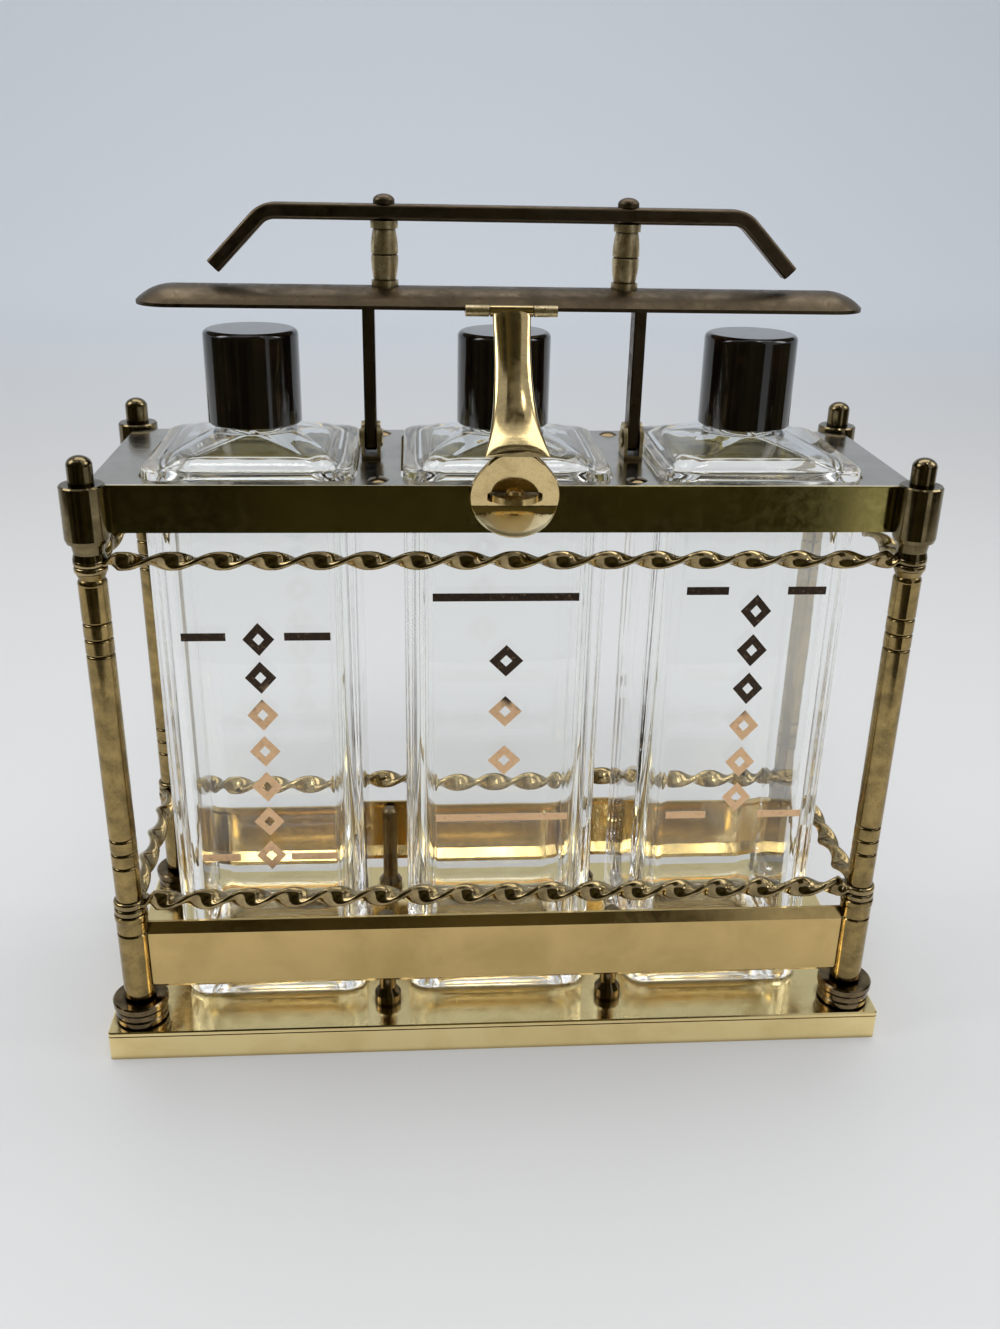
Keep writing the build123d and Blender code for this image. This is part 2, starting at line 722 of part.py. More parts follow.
def hasp_sheet():
    """The hasp's plate from the side: straight, then bent out into a finger lip, wide along X."""
    bend = radians(hasp_lip_bend)
    bend_centre = (hasp_lip_radius, -hasp_lip_start)

    def on_bend(radius, angle):
        return (bend_centre[0] - radius * cos(angle), bend_centre[1] - radius * sin(angle))

    inner = hasp_lip_radius - plate_half
    outer = hasp_lip_radius + plate_half
    run = 2 * hasp_foot_drop
    reach = (run * sin(bend), -run * cos(bend))
    inner_end = tuple(a + b for a, b in zip(on_bend(inner, bend), reach))
    outer_end = tuple(a + b for a, b in zip(on_bend(outer, bend), reach))
    side = make_face([
        Line((plate_half, hasp_neck_rise), on_bend(inner, 0)),
        ThreePointArc(on_bend(inner, 0), on_bend(inner, bend / 2), on_bend(inner, bend)),
        Line(on_bend(inner, bend), inner_end),
        Line(inner_end, outer_end),
        Line(outer_end, on_bend(outer, bend)),
        ThreePointArc(on_bend(outer, bend), on_bend(outer, bend / 2), on_bend(outer, 0)),
        Line(on_bend(outer, 0), (-plate_half, hasp_neck_rise)),
        Line((-plate_half, hasp_neck_rise), (plate_half, hasp_neck_rise)),
    ])
    across = Plane(origin=(0, 0, 0), x_dir=(0, -1, 0), z_dir=(-1, 0, 0))
    return Rot(hasp_tilt, 0, 0) * extrude(across * side, 2 * hasp_plate_radius, both=True)


def hasp_outline():
    """The hasp's plate from the front: a disc with a lower foot, and shoulders up to the neck."""
    radius = hasp_plate_radius
    tangent_z = 0.35 * radius
    tangent_x = sqrt(radius ** 2 - tangent_z ** 2)
    outline = Circle(radius) & Pos(0, radius) * Rectangle(2 * radius, 2 * radius)
    outline += Ellipse(radius, hasp_foot_drop) & Pos(0, -radius) * Rectangle(2 * radius, 2 * radius)
    outline += make_face(Polyline(
        (-tangent_x, tangent_z), (tangent_x, tangent_z), (hasp_shoulder_width / 2, hasp_neck_rise),
        (-hasp_shoulder_width / 2, hasp_neck_rise), close=True))
    return extrude(Plane.XZ * outline, 2 * radius, both=True)


def hasp():
    """The hasp: knuckle, neck flared to an overhanging edge, and a slotted plate with a finger lip."""
    tilt = radians(hasp_tilt)
    shoulder = hasp_plate_radius - 2.0
    lip_y = hasp_plate_y - shoulder * sin(tilt)
    lip_z = hasp_plate_z + shoulder * cos(tilt)
    drop = hinge_z - lip_z
    run = hinge_y - lip_y
    # Each station: share of the run, share of the drop, width, thickness.
    stations = [
        (0.00, 0.00, hasp_knuckle_length * 0.90, 2 * knuckle_radius),
        (0.14, 0.22, hasp_knuckle_length * 0.86, 4.4),
        (0.42, 0.50, hasp_knuckle_length * 0.90, 4.6),
        (0.72, 0.75, hasp_knuckle_length * 1.06, 4.2),
        (1.00, 0.89, hasp_shoulder_width * 0.90, 3.2),
        (1.17, 0.94, hasp_shoulder_width, 2.0),
    ]
    route = Spline(*[(0, hinge_y - a * run, hinge_z - b * drop) for a, b, _, _ in stations])
    count = len(stations) - 1
    sections = []
    for index, (_, _, width, thickness) in enumerate(stations):
        share = index / count
        place = Plane(origin=route @ share, x_dir=(1, 0, 0), z_dir=route % share)
        sections.append(place * Ellipse(width / 2, thickness / 2))
    body = loft(sections)
    body += x_rod(knuckle_radius, -hasp_knuckle_length / 2, hasp_knuckle_length / 2, hinge_y, hinge_z)
    centre = Pos(0, hasp_plate_y, hasp_plate_z)
    body += centre * (hasp_sheet() & hasp_outline())
    slot = RectangleRounded(slot_width, slot_height, slot_corner_radius)
    body -= centre * extrude(Plane.XZ * slot, hasp_plate_radius / 3, both=True)
    body -= x_rod(hinge_bore, -hasp_knuckle_length, hasp_knuckle_length, hinge_y, hinge_z)
    return Pos(hasp_x, 0, 0) * body


def lock_eye():
    """The lock eye: a flat eye through the skirt, its leg riveted behind it."""
    front_y = hasp_plate_y - plate_half
    tip_centre_y = front_y - eye_reach + eye_width / 2
    back_y = skirt_front_y + pan_sheet + eye_leg_thickness
    z0 = eye_top_z - eye_thickness
    half = eye_width / 2
    eye = block(-half, half, tip_centre_y, back_y, z0, eye_top_z)
    eye += Pos(0, tip_centre_y, 0) * rod_between(half, z0, eye_top_z)
    hole = rod_between(eye_hole_radius, z0 - 1, eye_top_z + 1)
    eye -= Pos(0, tip_centre_y, 0) * hole
    leg_y = skirt_front_y + pan_sheet
    eye += block(-half, half, leg_y, back_y, eye_top_z - eye_leg_height, eye_top_z)
    eye += y_rod(eye_rivet_radius, skirt_front_y, leg_y, 0, eye_rivet_z)
    return Pos(hasp_x, 0, 0) * eye


# ---- put together -----------------------------------------------------------------


def at_corner(shape, corner):
    """Move a post piece to its corner."""
    side_x, side_y = CORNERS[corner]
    return Pos(side_x * POST_X, side_y * POST_Y, 0) * shape


parts = {"base_pan": base_pan(), "top_pan": top_pan(), "plate_rivets": plate_rivets(), "base_nuts": base_nuts()}

post_pieces = {
    "foot_collar": foot_collar(),
    "lower_tube": lower_tube(),
    "post_rod": post_rod(),
    "corner_sleeve": corner_sleeve(),
    "finial": finial(),
}
for piece, shape in post_pieces.items():
    for corner in CORNERS:
        parts[f"{piece}_{corner}"] = at_corner(shape, corner)

for level, width, thickness, radius, z in (
        ("lower", lower_bar_width, lower_bar_thickness, lower_eyelet_radius, lower_bar_z),
        ("upper", upper_bar_width, upper_bar_thickness, upper_eyelet_radius, upper_bar_z)):
    long_bar = twisted_bar(2 * POST_X, width, thickness, radius, long_bar_half_turns)
    short_bar = twisted_bar(2 * POST_Y, width, thickness, radius, short_bar_half_turns)
    parts[f"{level}_bar_front"] = Pos(0, -POST_Y, z) * long_bar
    parts[f"{level}_bar_back"] = Pos(0, POST_Y, z) * long_bar
    for side, sign in SIDES.items():
        parts[f"{level}_bar_{side}"] = Pos(sign * POST_X, 0, z - thickness) * Rot(0, 0, 90) * short_bar

front_band = band()
parts["band_front"] = front_band
parts["band_back"] = Rot(0, 0, 180) * front_band
divider = divider_post()
for corner, (side_x, side_y) in CORNERS.items():
    parts[f"divider_post_{corner}"] = Pos(side_x * DIVIDER_X, side_y * DIVIDER_Y, 0) * divider

glass_bottle = bottle()
bottle_cap = cap()
for name, x in BOTTLES.items():
    parts[f"bottle_{name}"] = Pos(x, 0, 0) * glass_bottle
    parts[f"cap_{name}"] = Pos(x, 0, 0) * bottle_cap

for side, sign in SIDES.items():
    parts[f"clevis_{side}"] = clevis(sign)
    parts[f"pivot_pin_{side}"] = pivot_pin(sign)
    parts[f"lid_arm_{side}"] = lid_arm(sign)
    parts[f"handle_pillar_{side}"] = handle_pillar(sign)
    parts[f"handle_nut_{side}"] = dome_nut(sign)
parts["lid_bar"] = lid_bar()
parts["handle_bar"] = handle_bar()
parts["hinge_leaf"] = hinge_leaf()
parts["hinge_pin"] = hinge_pin()
parts["hasp"] = hasp()
parts["lock_eye"] = lock_eye()

os.makedirs("parts", exist_ok=True)
for name, shape in parts.items():
    solids = shape if isinstance(shape, list) else [shape]
    whole = Compound(children=[solid for item in solids for solid in item.solids()])
    if len(whole.solids()) == 1:
        whole = whole.solids()[0]
    whole.label = name
    export_step(whole, f"parts/{name}.step")
print(len(parts), "parts")
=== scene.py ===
"""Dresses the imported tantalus: brass frame, twisted rails, glass bottles, caps, and the stage."""
import math

import bpy
from mathutils import Matrix, Vector


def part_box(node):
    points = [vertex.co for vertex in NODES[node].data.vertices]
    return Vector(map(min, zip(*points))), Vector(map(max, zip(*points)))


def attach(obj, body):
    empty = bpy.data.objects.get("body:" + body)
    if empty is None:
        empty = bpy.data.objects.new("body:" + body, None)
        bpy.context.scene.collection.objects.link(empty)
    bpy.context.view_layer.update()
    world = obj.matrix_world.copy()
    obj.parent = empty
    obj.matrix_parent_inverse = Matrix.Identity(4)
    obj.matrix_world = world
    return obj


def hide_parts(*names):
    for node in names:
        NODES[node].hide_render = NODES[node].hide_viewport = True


bl_info = {
    "name": "Three-bottle tantalus",
    "version": (1, 0, 0),
    "blender": (4, 5, 0),
    "location": "3D View > Sidebar > Tantalus",
    "description": "Finishes the brass frame, twisted rails, bottles and caps of a tantalus",
    "category": "Object",
}

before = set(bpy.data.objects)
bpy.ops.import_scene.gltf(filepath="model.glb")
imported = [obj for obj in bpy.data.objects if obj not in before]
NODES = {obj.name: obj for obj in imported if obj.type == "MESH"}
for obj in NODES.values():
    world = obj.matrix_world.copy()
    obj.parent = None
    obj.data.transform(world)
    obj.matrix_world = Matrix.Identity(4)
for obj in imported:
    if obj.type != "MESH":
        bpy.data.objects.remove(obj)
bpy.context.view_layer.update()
MM = 0.001

# Socket numbers of a Mix node that blends colours: its names occur once for each data type.
MIX_SHARE, MIX_FIRST, MIX_SECOND, MIX_RESULT = 0, 6, 7, 2

# Sections of the twisted rails, in metres.
UPPER_RAIL = (6.4 * MM, 2.4 * MM)
LOWER_RAIL = (7.8 * MM, 3.1 * MM)
RAIL_HOLE = 2.6 * MM

# The bottles' measures that their boxes don't give, in millimetres.
RIM_HEIGHT = 215.6
SHOULDER_RISE = 8.4
NECK_RADIUS = 12.0


def span(node):
    """A node's lowest corner, highest corner and middle, in metres."""
    low, high = (Vector(corner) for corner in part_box(node))
    return low, high, (low + high) / 2


# ---- material building blocks ------------------------------------------------


class Finish:
    """A material whose nodes are added by short calls, each giving back an output socket."""

    def __init__(self, name):
        self.material = bpy.data.materials.new(name)
        self.material.use_nodes = True
        self.tree = self.material.node_tree
        self.tree.nodes.clear()
        self.output = self.add("ShaderNodeOutputMaterial")
        self.shader = self.add("ShaderNodeBsdfPrincipled")
        self.link(self.shader.outputs["BSDF"], self.output.inputs["Surface"])
        self.place = self.add("ShaderNodeTexCoord").outputs["Object"]

    def add(self, kind, **settings):
        """A new node with its settings made."""
        node = self.tree.nodes.new(kind)
        for key, value in settings.items():
            setattr(node, key, value)
        return node

    def link(self, source, target):
        self.tree.links.new(source, target)

    def feed(self, socket, value):
        """Puts a socket's output, or a plain number or colour, into an input."""
        if isinstance(value, bpy.types.NodeSocket):
            self.link(value, socket)
        elif isinstance(value, (tuple, list)) and len(value) == 3 and socket.type == "RGBA":
            socket.default_value = (*value, 1.0)
        else:
            socket.default_value = value

    def stretched(self, scale):
        """Object coordinates scaled along each axis."""
        mapping = self.add("ShaderNodeMapping")
        self.link(self.place, mapping.inputs["Vector"])
        mapping.inputs["Scale"].default_value = scale
        return mapping.outputs["Vector"]

    def noise(self, scale, detail=4.0, rough=0.55, warp=0.0, stretch=None):
        """Soft cloudy noise from about 0.3 to 0.7."""
        node = self.add("ShaderNodeTexNoise")
        node.inputs["Scale"].default_value = scale
        node.inputs["Detail"].default_value = detail
        node.inputs["Roughness"].default_value = rough
        node.inputs["Distortion"].default_value = warp
        self.link(self.stretched(stretch) if stretch else self.place, node.inputs["Vector"])
        return node.outputs["Fac"]

    def spots(self, scale):
        """Distance to the nearest of scattered points."""
        node = self.add("ShaderNodeTexVoronoi")
        node.inputs["Scale"].default_value = scale
        self.link(self.place, node.inputs["Vector"])
        return node.outputs["Distance"]

    def ramp(self, value, low, high, to_low=0.0, to_high=1.0):
        """Smoothly maps low..high to to_low..to_high."""
        node = self.add("ShaderNodeMapRange", interpolation_type="SMOOTHSTEP")
        self.feed(node.inputs["Value"], value)
        node.inputs["From Min"].default_value = low
        node.inputs["From Max"].default_value = high
        node.inputs["To Min"].default_value = to_low
        node.inputs["To Max"].default_value = to_high
        return node.outputs["Result"]

    def math(self, operation, first, second):
        """One sum or product of two values."""
        node = self.add("ShaderNodeMath", operation=operation)
        self.feed(node.inputs[0], first)
        self.feed(node.inputs[1], second)
        return node.outputs[0]

    def mix(self, share, first, second):
        """Blends two colours."""
        node = self.add("ShaderNodeMix", data_type="RGBA", blend_type="MIX")
        self.feed(node.inputs[MIX_SHARE], share)
        self.feed(node.inputs[MIX_FIRST], first)
        self.feed(node.inputs[MIX_SECOND], second)
        return node.outputs[MIX_RESULT]

    def axis(self, name):
        """One object coordinate, in metres."""
        node = self.add("ShaderNodeSeparateXYZ")
        self.link(self.place, node.inputs["Vector"])
        return node.outputs[name]

    def facing_up(self):
        """1 on faces that look up, in the object's own space, and 0 on its sides."""
        node = self.add("ShaderNodeSeparateXYZ")
        self.link(self.place.node.outputs["Normal"], node.inputs["Vector"])
        return self.ramp(node.outputs["Z"], 0.75, 0.95)

    def crevice_shade(self, reach):
        """Painted shade: 1 in narrow inside corners and where parts meet, by ambient occlusion, and
        0 in the open.
        """
        node = self.add("ShaderNodeAmbientOcclusion", samples=6)
        node.inputs["Distance"].default_value = reach
        return self.ramp(node.outputs["AO"], 0.45, 0.95, 1.0, 0.0)

    def edge(self, radius):
        """1 on sharp outside edges and 0 on flat faces."""
        bevel = self.add("ShaderNodeBevel", samples=4)
        bevel.inputs["Radius"].default_value = radius
        geometry = self.add("ShaderNodeNewGeometry")
        product = self.add("ShaderNodeVectorMath", operation="DOT_PRODUCT")
        self.link(bevel.outputs["Normal"], product.inputs[0])
        self.link(geometry.outputs["Normal"], product.inputs[1])
        return self.ramp(product.outputs["Value"], 0.90, 0.995, 1.0, 0.0)

    def bump(self, height, strength, distance, under=None):
        """A surface normal raised by height, over another normal if one is given."""
        node = self.add("ShaderNodeBump")
        node.inputs["Strength"].default_value = strength
        node.inputs["Distance"].default_value = distance
        self.link(height, node.inputs["Height"])
        if under:
            self.link(under, node.inputs["Normal"])
        return node.outputs["Normal"]

    def set(self, **values):
        """Sets the shader's own sockets, spelt with underscores."""
        for key, value in values.items():
            self.feed(self.shader.inputs[key.replace("_", " ")], value)


def brass_finish(name, bright, dull, dark, rough, mottle, crevice_shade, patina, speckle=0.0,
                 scratch=0.3, edge_shine=0.35, top=None, satin_and_highlight_below=None):
    """Brass with mottled patina, painted shade in its crevices, rubbed edges, fine pits and
    hairline scratches.

    Mottle is the scale of the patina's clouds and patina the level at which they turn dull.
    Top is a paler colour painted on faces that look up, a painted reflection of the pale backdrop.
    Below the satin height, in metres, the metal is rubbed satin and painted pale as a painted
    highlight.
    """
    pit_scale, grain_scale, smear_scale, hair_scale = 2600.0, 1500.0, 240.0, 420.0
    crevice_reach, edge_radius, relief = 2.2 * MM, 0.5 * MM, 0.05 * MM
    hair_stretch = (0.12, 1.0, 1.6)
    # The pale satin colour is a painted highlight; the haze is the rubbed satin's added roughness.
    satin_highlight_colour, satin_haze = (0.98, 0.86, 0.55), 0.30
    finish = Finish(name)
    cloud = finish.noise(mottle, 5.0, 0.6, 0.4)
    share = finish.ramp(cloud, patina - 0.18, patina + 0.28)
    colour = finish.mix(share, bright, dull)
    # Painted reflection: faces that look up take the paler top colour for the backdrop they mirror.
    if top:
        top_reflection_colour = finish.mix(share, top, [0.8 * part for part in top])
        colour = finish.mix(finish.facing_up(), colour, top_reflection_colour)
    pits = finish.ramp(finish.spots(pit_scale), 0.05, 0.22, 1.0, 0.0)
    drift = finish.ramp(finish.noise(160.0, 3.0), 0.42, 0.62)
    pits = finish.math("MULTIPLY", pits, drift)
    if speckle:
        grain = finish.ramp(finish.noise(grain_scale, 6.0, 0.75), 0.50, 0.66)
        colour = finish.mix(finish.math("MULTIPLY", grain, speckle), colour, dark)
    colour = finish.mix(finish.math("MULTIPLY", pits, 0.55), colour, dark)
    # Painted shade: ambient occlusion darkens the colour in crevices and where parts touch.
    shade = finish.crevice_shade(crevice_reach)
    colour = finish.mix(finish.math("MULTIPLY", shade, crevice_shade), colour, dark)
    if edge_shine:
        rubbed = finish.edge(edge_radius)
        colour = finish.mix(finish.math("MULTIPLY", rubbed, edge_shine), colour, bright)
    smear = finish.noise(smear_scale, 6.0, 0.65, 0.8)
    roughness = finish.ramp(smear, 0.3, 0.75, rough * 0.72, rough * 1.45)
    roughness = finish.math("ADD", roughness, finish.math("MULTIPLY", share, rough * 0.5))
    if satin_and_highlight_below:
        # Below the height the lip is rubbed satin by fingers, and its pale colour is a painted
        # highlight of the lamp.
        wander = finish.ramp(smear, 0.3, 0.7, -1.0 * MM, 1.0 * MM)
        height = finish.math("ADD", finish.axis("Z"), wander)
        handled_and_highlit = finish.ramp(height, satin_and_highlight_below - 1.5 * MM, satin_and_highlight_below, 1.0, 0.0)
        colour = finish.mix(handled_and_highlit, colour, satin_highlight_colour)
        roughness = finish.math("ADD", roughness, finish.math("MULTIPLY", handled_and_highlit, satin_haze))
    hair = finish.noise(hair_scale, 3.0, 0.6, 0.0, hair_stretch)
    surface = finish.bump(hair, scratch * 0.22, relief)
    surface = finish.bump(pits, 0.25, relief, surface)
    finish.set(Base_Color=colour, Metallic=1.0, Roughness=roughness, Normal=surface)
    return finish


def glass_finish():
    """Clear pressed glass with a faint green cast and a barely rippled surface."""
    finish = Finish("clear_pressed_glass")
    ripple = finish.noise(38.0, 2.0, 0.4, 0.3)
    surface = finish.bump(ripple, 0.16, 0.35 * MM)
    finish.set(Base_Color=(0.988, 0.998, 0.992), Roughness=0.0, IOR=1.47, Normal=surface)
    finish.set(Transmission_Weight=1.0)
    return finish


def cap_finish():
    """Glossy near-black brown moulding with faint reddish depth."""
    finish = Finish("glossy_dark_cap")
    cloud = finish.noise(70.0, 4.0, 0.6, 0.6)
    share = finish.ramp(cloud, 0.45, 0.75)
    colour = finish.mix(share, (0.0025, 0.0018, 0.0012), (0.012, 0.005, 0.0025))
    smear = finish.noise(190.0, 5.0)
    dust = finish.ramp(finish.spots(900.0), 0.0, 0.10, 1.0, 0.0)
    roughness = finish.ramp(smear, 0.35, 0.7, 0.06, 0.16)
    surface = finish.bump(smear, 0.05, 0.1 * MM)
    colour = finish.mix(finish.math("MULTIPLY", dust, 0.06), colour, (0.2, 0.18, 0.16))
    finish.set(Base_Color=colour, Roughness=roughness, Normal=surface, IOR=1.52)
    finish.set(Coat_Weight=0.5, Coat_Roughness=0.04)
    return finish


def foil_finish(low_z, high_z):
    """Worn gold foil, peach-gold below and dark brown towards the top."""
    finish = Finish("worn_gold_foil")
    height = finish.axis("Z")
    wander = finish.ramp(finish.noise(60.0, 3.0), 0.3, 0.7, -0.008, 0.008)
    height = finish.math("ADD", height, wander)
    share = finish.ramp(height, low_z, high_z)
    colour = finish.mix(share, (0.86, 0.56, 0.32), (0.055, 0.036, 0.024))
    flecks = finish.ramp(finish.noise(900.0, 5.0, 0.7), 0.56, 0.66)
    colour = finish.mix(finish.math("MULTIPLY", flecks, 0.5), colour, (0.36, 0.25, 0.15))
    roughness = finish.ramp(finish.noise(500.0, 3.0), 0.3, 0.7, 0.28, 0.48)
    finish.set(Base_Color=colour, Metallic=0.75, Roughness=roughness,
               Normal=finish.bump(flecks, 0.3, 0.05 * MM))
    return finish


FINISHES = {}


def make_finishes():
    """Makes every finish once, keyed by a plain name."""
    dark = (0.020, 0.014, 0.008)
    FINISHES["pale"] = brass_finish(
        "pale_gold_brass", (0.98, 0.80, 0.40), (0.86, 0.66, 0.30), (0.16, 0.10, 0.03), 0.13,
        mottle=45.0, crevice_shade=0.75, scratch=0.35, patina=0.55)
    FINISHES["band"] = brass_finish(
        "tan_gold_band", (0.70, 0.50, 0.21), (0.56, 0.40, 0.155), (0.10, 0.07, 0.03), 0.15,
        mottle=38.0, crevice_shade=0.6, scratch=0.4, patina=0.50)
    FINISHES["aged"] = brass_finish(
        "aged_post_brass", (0.42, 0.30, 0.12), (0.20, 0.145, 0.06), dark, 0.11,
        mottle=140.0, speckle=0.40, crevice_shade=0.95, patina=0.46)
    FINISHES["sleeve"] = brass_finish(
        "dark_sleeve_brass", (0.24, 0.19, 0.10), (0.13, 0.10, 0.05), dark, 0.10,
        mottle=150.0, speckle=0.35, crevice_shade=0.9, patina=0.42)
    FINISHES["rail"] = brass_finish(
        "twisted_rail_brass", (0.50, 0.38, 0.19), (0.20, 0.15, 0.075), dark, 0.11,
        mottle=150.0, speckle=0.25, crevice_shade=0.95, patina=0.44, edge_shine=0.0)
    FINISHES["dark"] = brass_finish(
        "dark_patina_brass", (0.26, 0.19, 0.10), (0.11, 0.08, 0.045),
        (0.012, 0.009, 0.006), 0.12, mottle=150.0, speckle=0.3, crevice_shade=0.95, patina=0.45,
        edge_shine=0.5)
    # The pan's faces that look up get a paler grey, a painted reflection of the backdrop.
    FINISHES["skirt"] = brass_finish(
        "olive_pan_brass", (0.36, 0.30, 0.10), (0.22, 0.185, 0.065), dark, 0.15,
        mottle=32.0, speckle=0.12, crevice_shade=0.5, patina=0.48, top=(0.52, 0.49, 0.43))
    FINISHES["lid"] = brass_finish(
        "brown_antique_bronze", (0.115, 0.086, 0.052), (0.080, 0.060, 0.037),
        (0.03, 0.02, 0.014), 0.33, mottle=60.0, speckle=0.35, crevice_shade=0.7, scratch=0.1, patina=0.5)
    FINISHES["pillar"] = brass_finish(
        "worn_pillar_brass", (0.86, 0.72, 0.44), (0.50, 0.39, 0.21), dark, 0.28,
        mottle=190.0, speckle=0.45, crevice_shade=1.0, patina=0.44)
    _, eye_high, _ = span("lock_eye")
    # The finger lip below the eye is rubbed satin, and painted pale as a painted highlight.
    FINISHES["hasp"] = brass_finish(
        "polished_hasp_brass", (0.74, 0.57, 0.28), (0.50, 0.37, 0.17), dark, 0.10,
        mottle=110.0, speckle=0.30, crevice_shade=0.8, patina=0.56,
        satin_and_highlight_below=eye_high.z - 6.5 * MM)
    FINISHES["eye"] = brass_finish(
        "rubbed_eye_brass", (0.78, 0.58, 0.25), (0.60, 0.42, 0.17), (0.10, 0.07, 0.03), 0.24,
        mottle=160.0, crevice_shade=0.5, patina=0.55)
    FINISHES["steel"] = brass_finish(
        "dull_steel", (0.42, 0.41, 0.39), (0.26, 0.25, 0.24), (0.05, 0.05, 0.05), 0.32,
        mottle=140.0, crevice_shade=0.6, patina=0.5)
    FINISHES["glass"] = glass_finish()
    FINISHES["cap"] = cap_finish()


def paint(obj, finish_name):
    """Gives an object one finish in all its material slots."""
    obj.data.materials.clear()
    obj.data.materials.append(FINISHES[finish_name].material)


# ---- mesh building blocks ----------------------------------------------------


def new_piece(name, points, faces, body, finish_name, crease):
    """A mesh piece that rides on a body, smooth but for edges sharper than crease degrees."""
    mesh = bpy.data.meshes.new(name)
    mesh.from_pydata([tuple(p) for p in points], [], faces)
    mesh.validate()
    mesh.update()
    mesh.set_sharp_from_angle(angle=math.radians(crease))
    piece = bpy.data.objects.new(name, mesh)
    bpy.context.scene.collection.objects.link(piece)
    paint(piece, finish_name)
    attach(piece, body)
    return piece


def rings_to_mesh(rings, cap_start=False, cap_end=False, join_ends=False):
    """Points and faces of a skin through rings of equal length, closed round each ring."""
    count = len(rings[0])
    points = [p for ring in rings for p in ring]
    faces = []
    steps = len(rings) if join_ends else len(rings) - 1
    for i in range(steps):
        here = i * count
        there = (i + 1) % len(rings) * count
        for j in range(count):
            k = (j + 1) % count
            faces.append((here + j, here + k, there + k, there + j))
    if cap_start:
        faces.append(tuple(range(count - 1, -1, -1)))
    if cap_end:
        last = (len(rings) - 1) * count
        faces.append(tuple(last + j for j in range(count)))
    return points, faces


def merged(parts):
    """Joins several (points, faces) meshes into one."""
    points, faces = [], []
    for part_points, part_faces in parts:
        base = len(points)
        points += part_points
        faces += [tuple(base + index for index in face) for face in part_faces]
    return points, faces


def rounded_square(half, radius, per_corner=8):
    """Points of a square with round corners, anticlockwise from the +X side."""
    radius = min(radius, half)
    ring = []
    for quarter in range(4):
        sign_x = (1, -1, -1, 1)[quarter]
        sign_y = (1, 1, -1, -1)[quarter]
        centre = Vector((sign_x * (half - radius), sign_y * (half - radius)))
        for step in range(per_corner + 1):
            angle = math.pi / 2 * (quarter + step / per_corner)
            ring.append(centre + radius * Vector((math.cos(angle), math.sin(angle))))
    return ring


def full_oval(half_x, half_y, fullness, around=28):
    """Points of a superellipse: an oval at fullness 1, squarer below it."""
    ring = []
    for step in range(around):
        angle = 2 * math.pi * (step + 0.5) / around
        cos, sin = math.cos(angle), math.sin(angle)
        ring.append(Vector((math.copysign(half_x * abs(cos) ** fullness, cos),
                            math.copysign(half_y * abs(sin) ** fullness, sin))))
    return ring


# ---- settings ----------------------------------------------------------------


class RailSettings(bpy.types.PropertyGroup):
    """Sizes of the twisted rails' finish."""
    fullness: bpy.props.FloatProperty(
        name="Fullness", description="1 for an oval section, towards 0 for a square-edged one",
        default=0.62, subtype="FACTOR", min=0.1, max=1.0)
    quick_turn: bpy.props.FloatProperty(
        name="Quick turn", description="Length of the quarter turn beside an eyelet",
        default=3.2 * MM, unit="LENGTH")
    steps_per_half_turn: bpy.props.IntProperty(
        name="Steps per half turn", description="Mesh stations along each half turn",
        default=30, min=8)
    long_half_turns: bpy.props.IntProperty(
        name="Half turns, long", description="Half turns of a front or back rail", default=16)
    short_half_turns: bpy.props.IntProperty(
        name="Half turns, short", description="Half turns of a side rail", default=4)


class BottleSettings(bpy.types.PropertyGroup):
    """Sizes of the glass bottles."""
    wall: bpy.props.FloatProperty(
        name="Wall", description="Thickness of the glass", default=5.4 * MM, unit="LENGTH")
    bottom: bpy.props.FloatProperty(
        name="Bottom", description="Thickness of the glass floor", default=9.0 * MM,
        unit="LENGTH")
    neck_bore: bpy.props.FloatProperty(
        name="Neck bore", description="Radius inside the neck", default=8.0 * MM, unit="LENGTH")


class StageSettings(bpy.types.PropertyGroup):
    """Floor, light and camera."""
    floor_colour: bpy.props.FloatVectorProperty(
        name="Floor", description="Colour of the floor", subtype="COLOR", size=3,
        default=(0.60, 0.60, 0.595))
    wall_colour: bpy.props.FloatVectorProperty(
        name="Wall", description="Colour of the backdrop", subtype="COLOR", size=3,
        default=(0.88, 0.92, 0.96))
    light_turns: bpy.props.IntProperty(
        name="Light turns", description="How often light may turn inside the glass", default=32)
    lens: bpy.props.FloatProperty(
        name="Lens", description="Focal length on a 36 mm sensor", default=33.7, unit="CAMERA")


# ---- frame pieces ------------------------------------------------------------


def dress(prefixes, finish_name):
    """Finishes every CAD node whose name starts with one of the prefixes."""
    for name, node in NODES.items():
        if name.startswith(prefixes):
            paint(node, finish_name)


class TANTALUS_OT_base(bpy.types.Operator):
    """Finishes the base pan, the two bands and the nuts under the base"""
    bl_idname = "tantalus.base"
    bl_label = "Base and bands"

    def execute(self, context):
        dress(("base_pan",), "pale")
        dress(("band_",), "band")
        dress(("base_nuts",), "steel")
        return {"FINISHED"}


class TANTALUS_OT_posts(bpy.types.Operator):
    """Finishes the turned posts, collars, sleeves, finials and divider posts"""
    bl_idname = "tantalus.posts"
    bl_label = "Posts"

    def execute(self, context):
        dress(("post_rod", "lower_tube"), "aged")
        dress(("corner_sleeve", "finial"), "sleeve")
        dress(("foot_collar", "divider_post"), "dark")
        return {"FINISHED"}


class TANTALUS_OT_rails(bpy.types.Operator):
    """Builds the eight twisted rails with rounded edges and flattened eyelets"""
    bl_idname = "tantalus.rails"
    bl_label = "Twisted rails"

    def execute(self, context):
        for level in ("lower", "upper"):
            for side in ("front", "back", "left", "right"):
                build_rail(f"{level}_bar_{side}", context.scene.tantalus_rails)
        return {"FINISHED"}


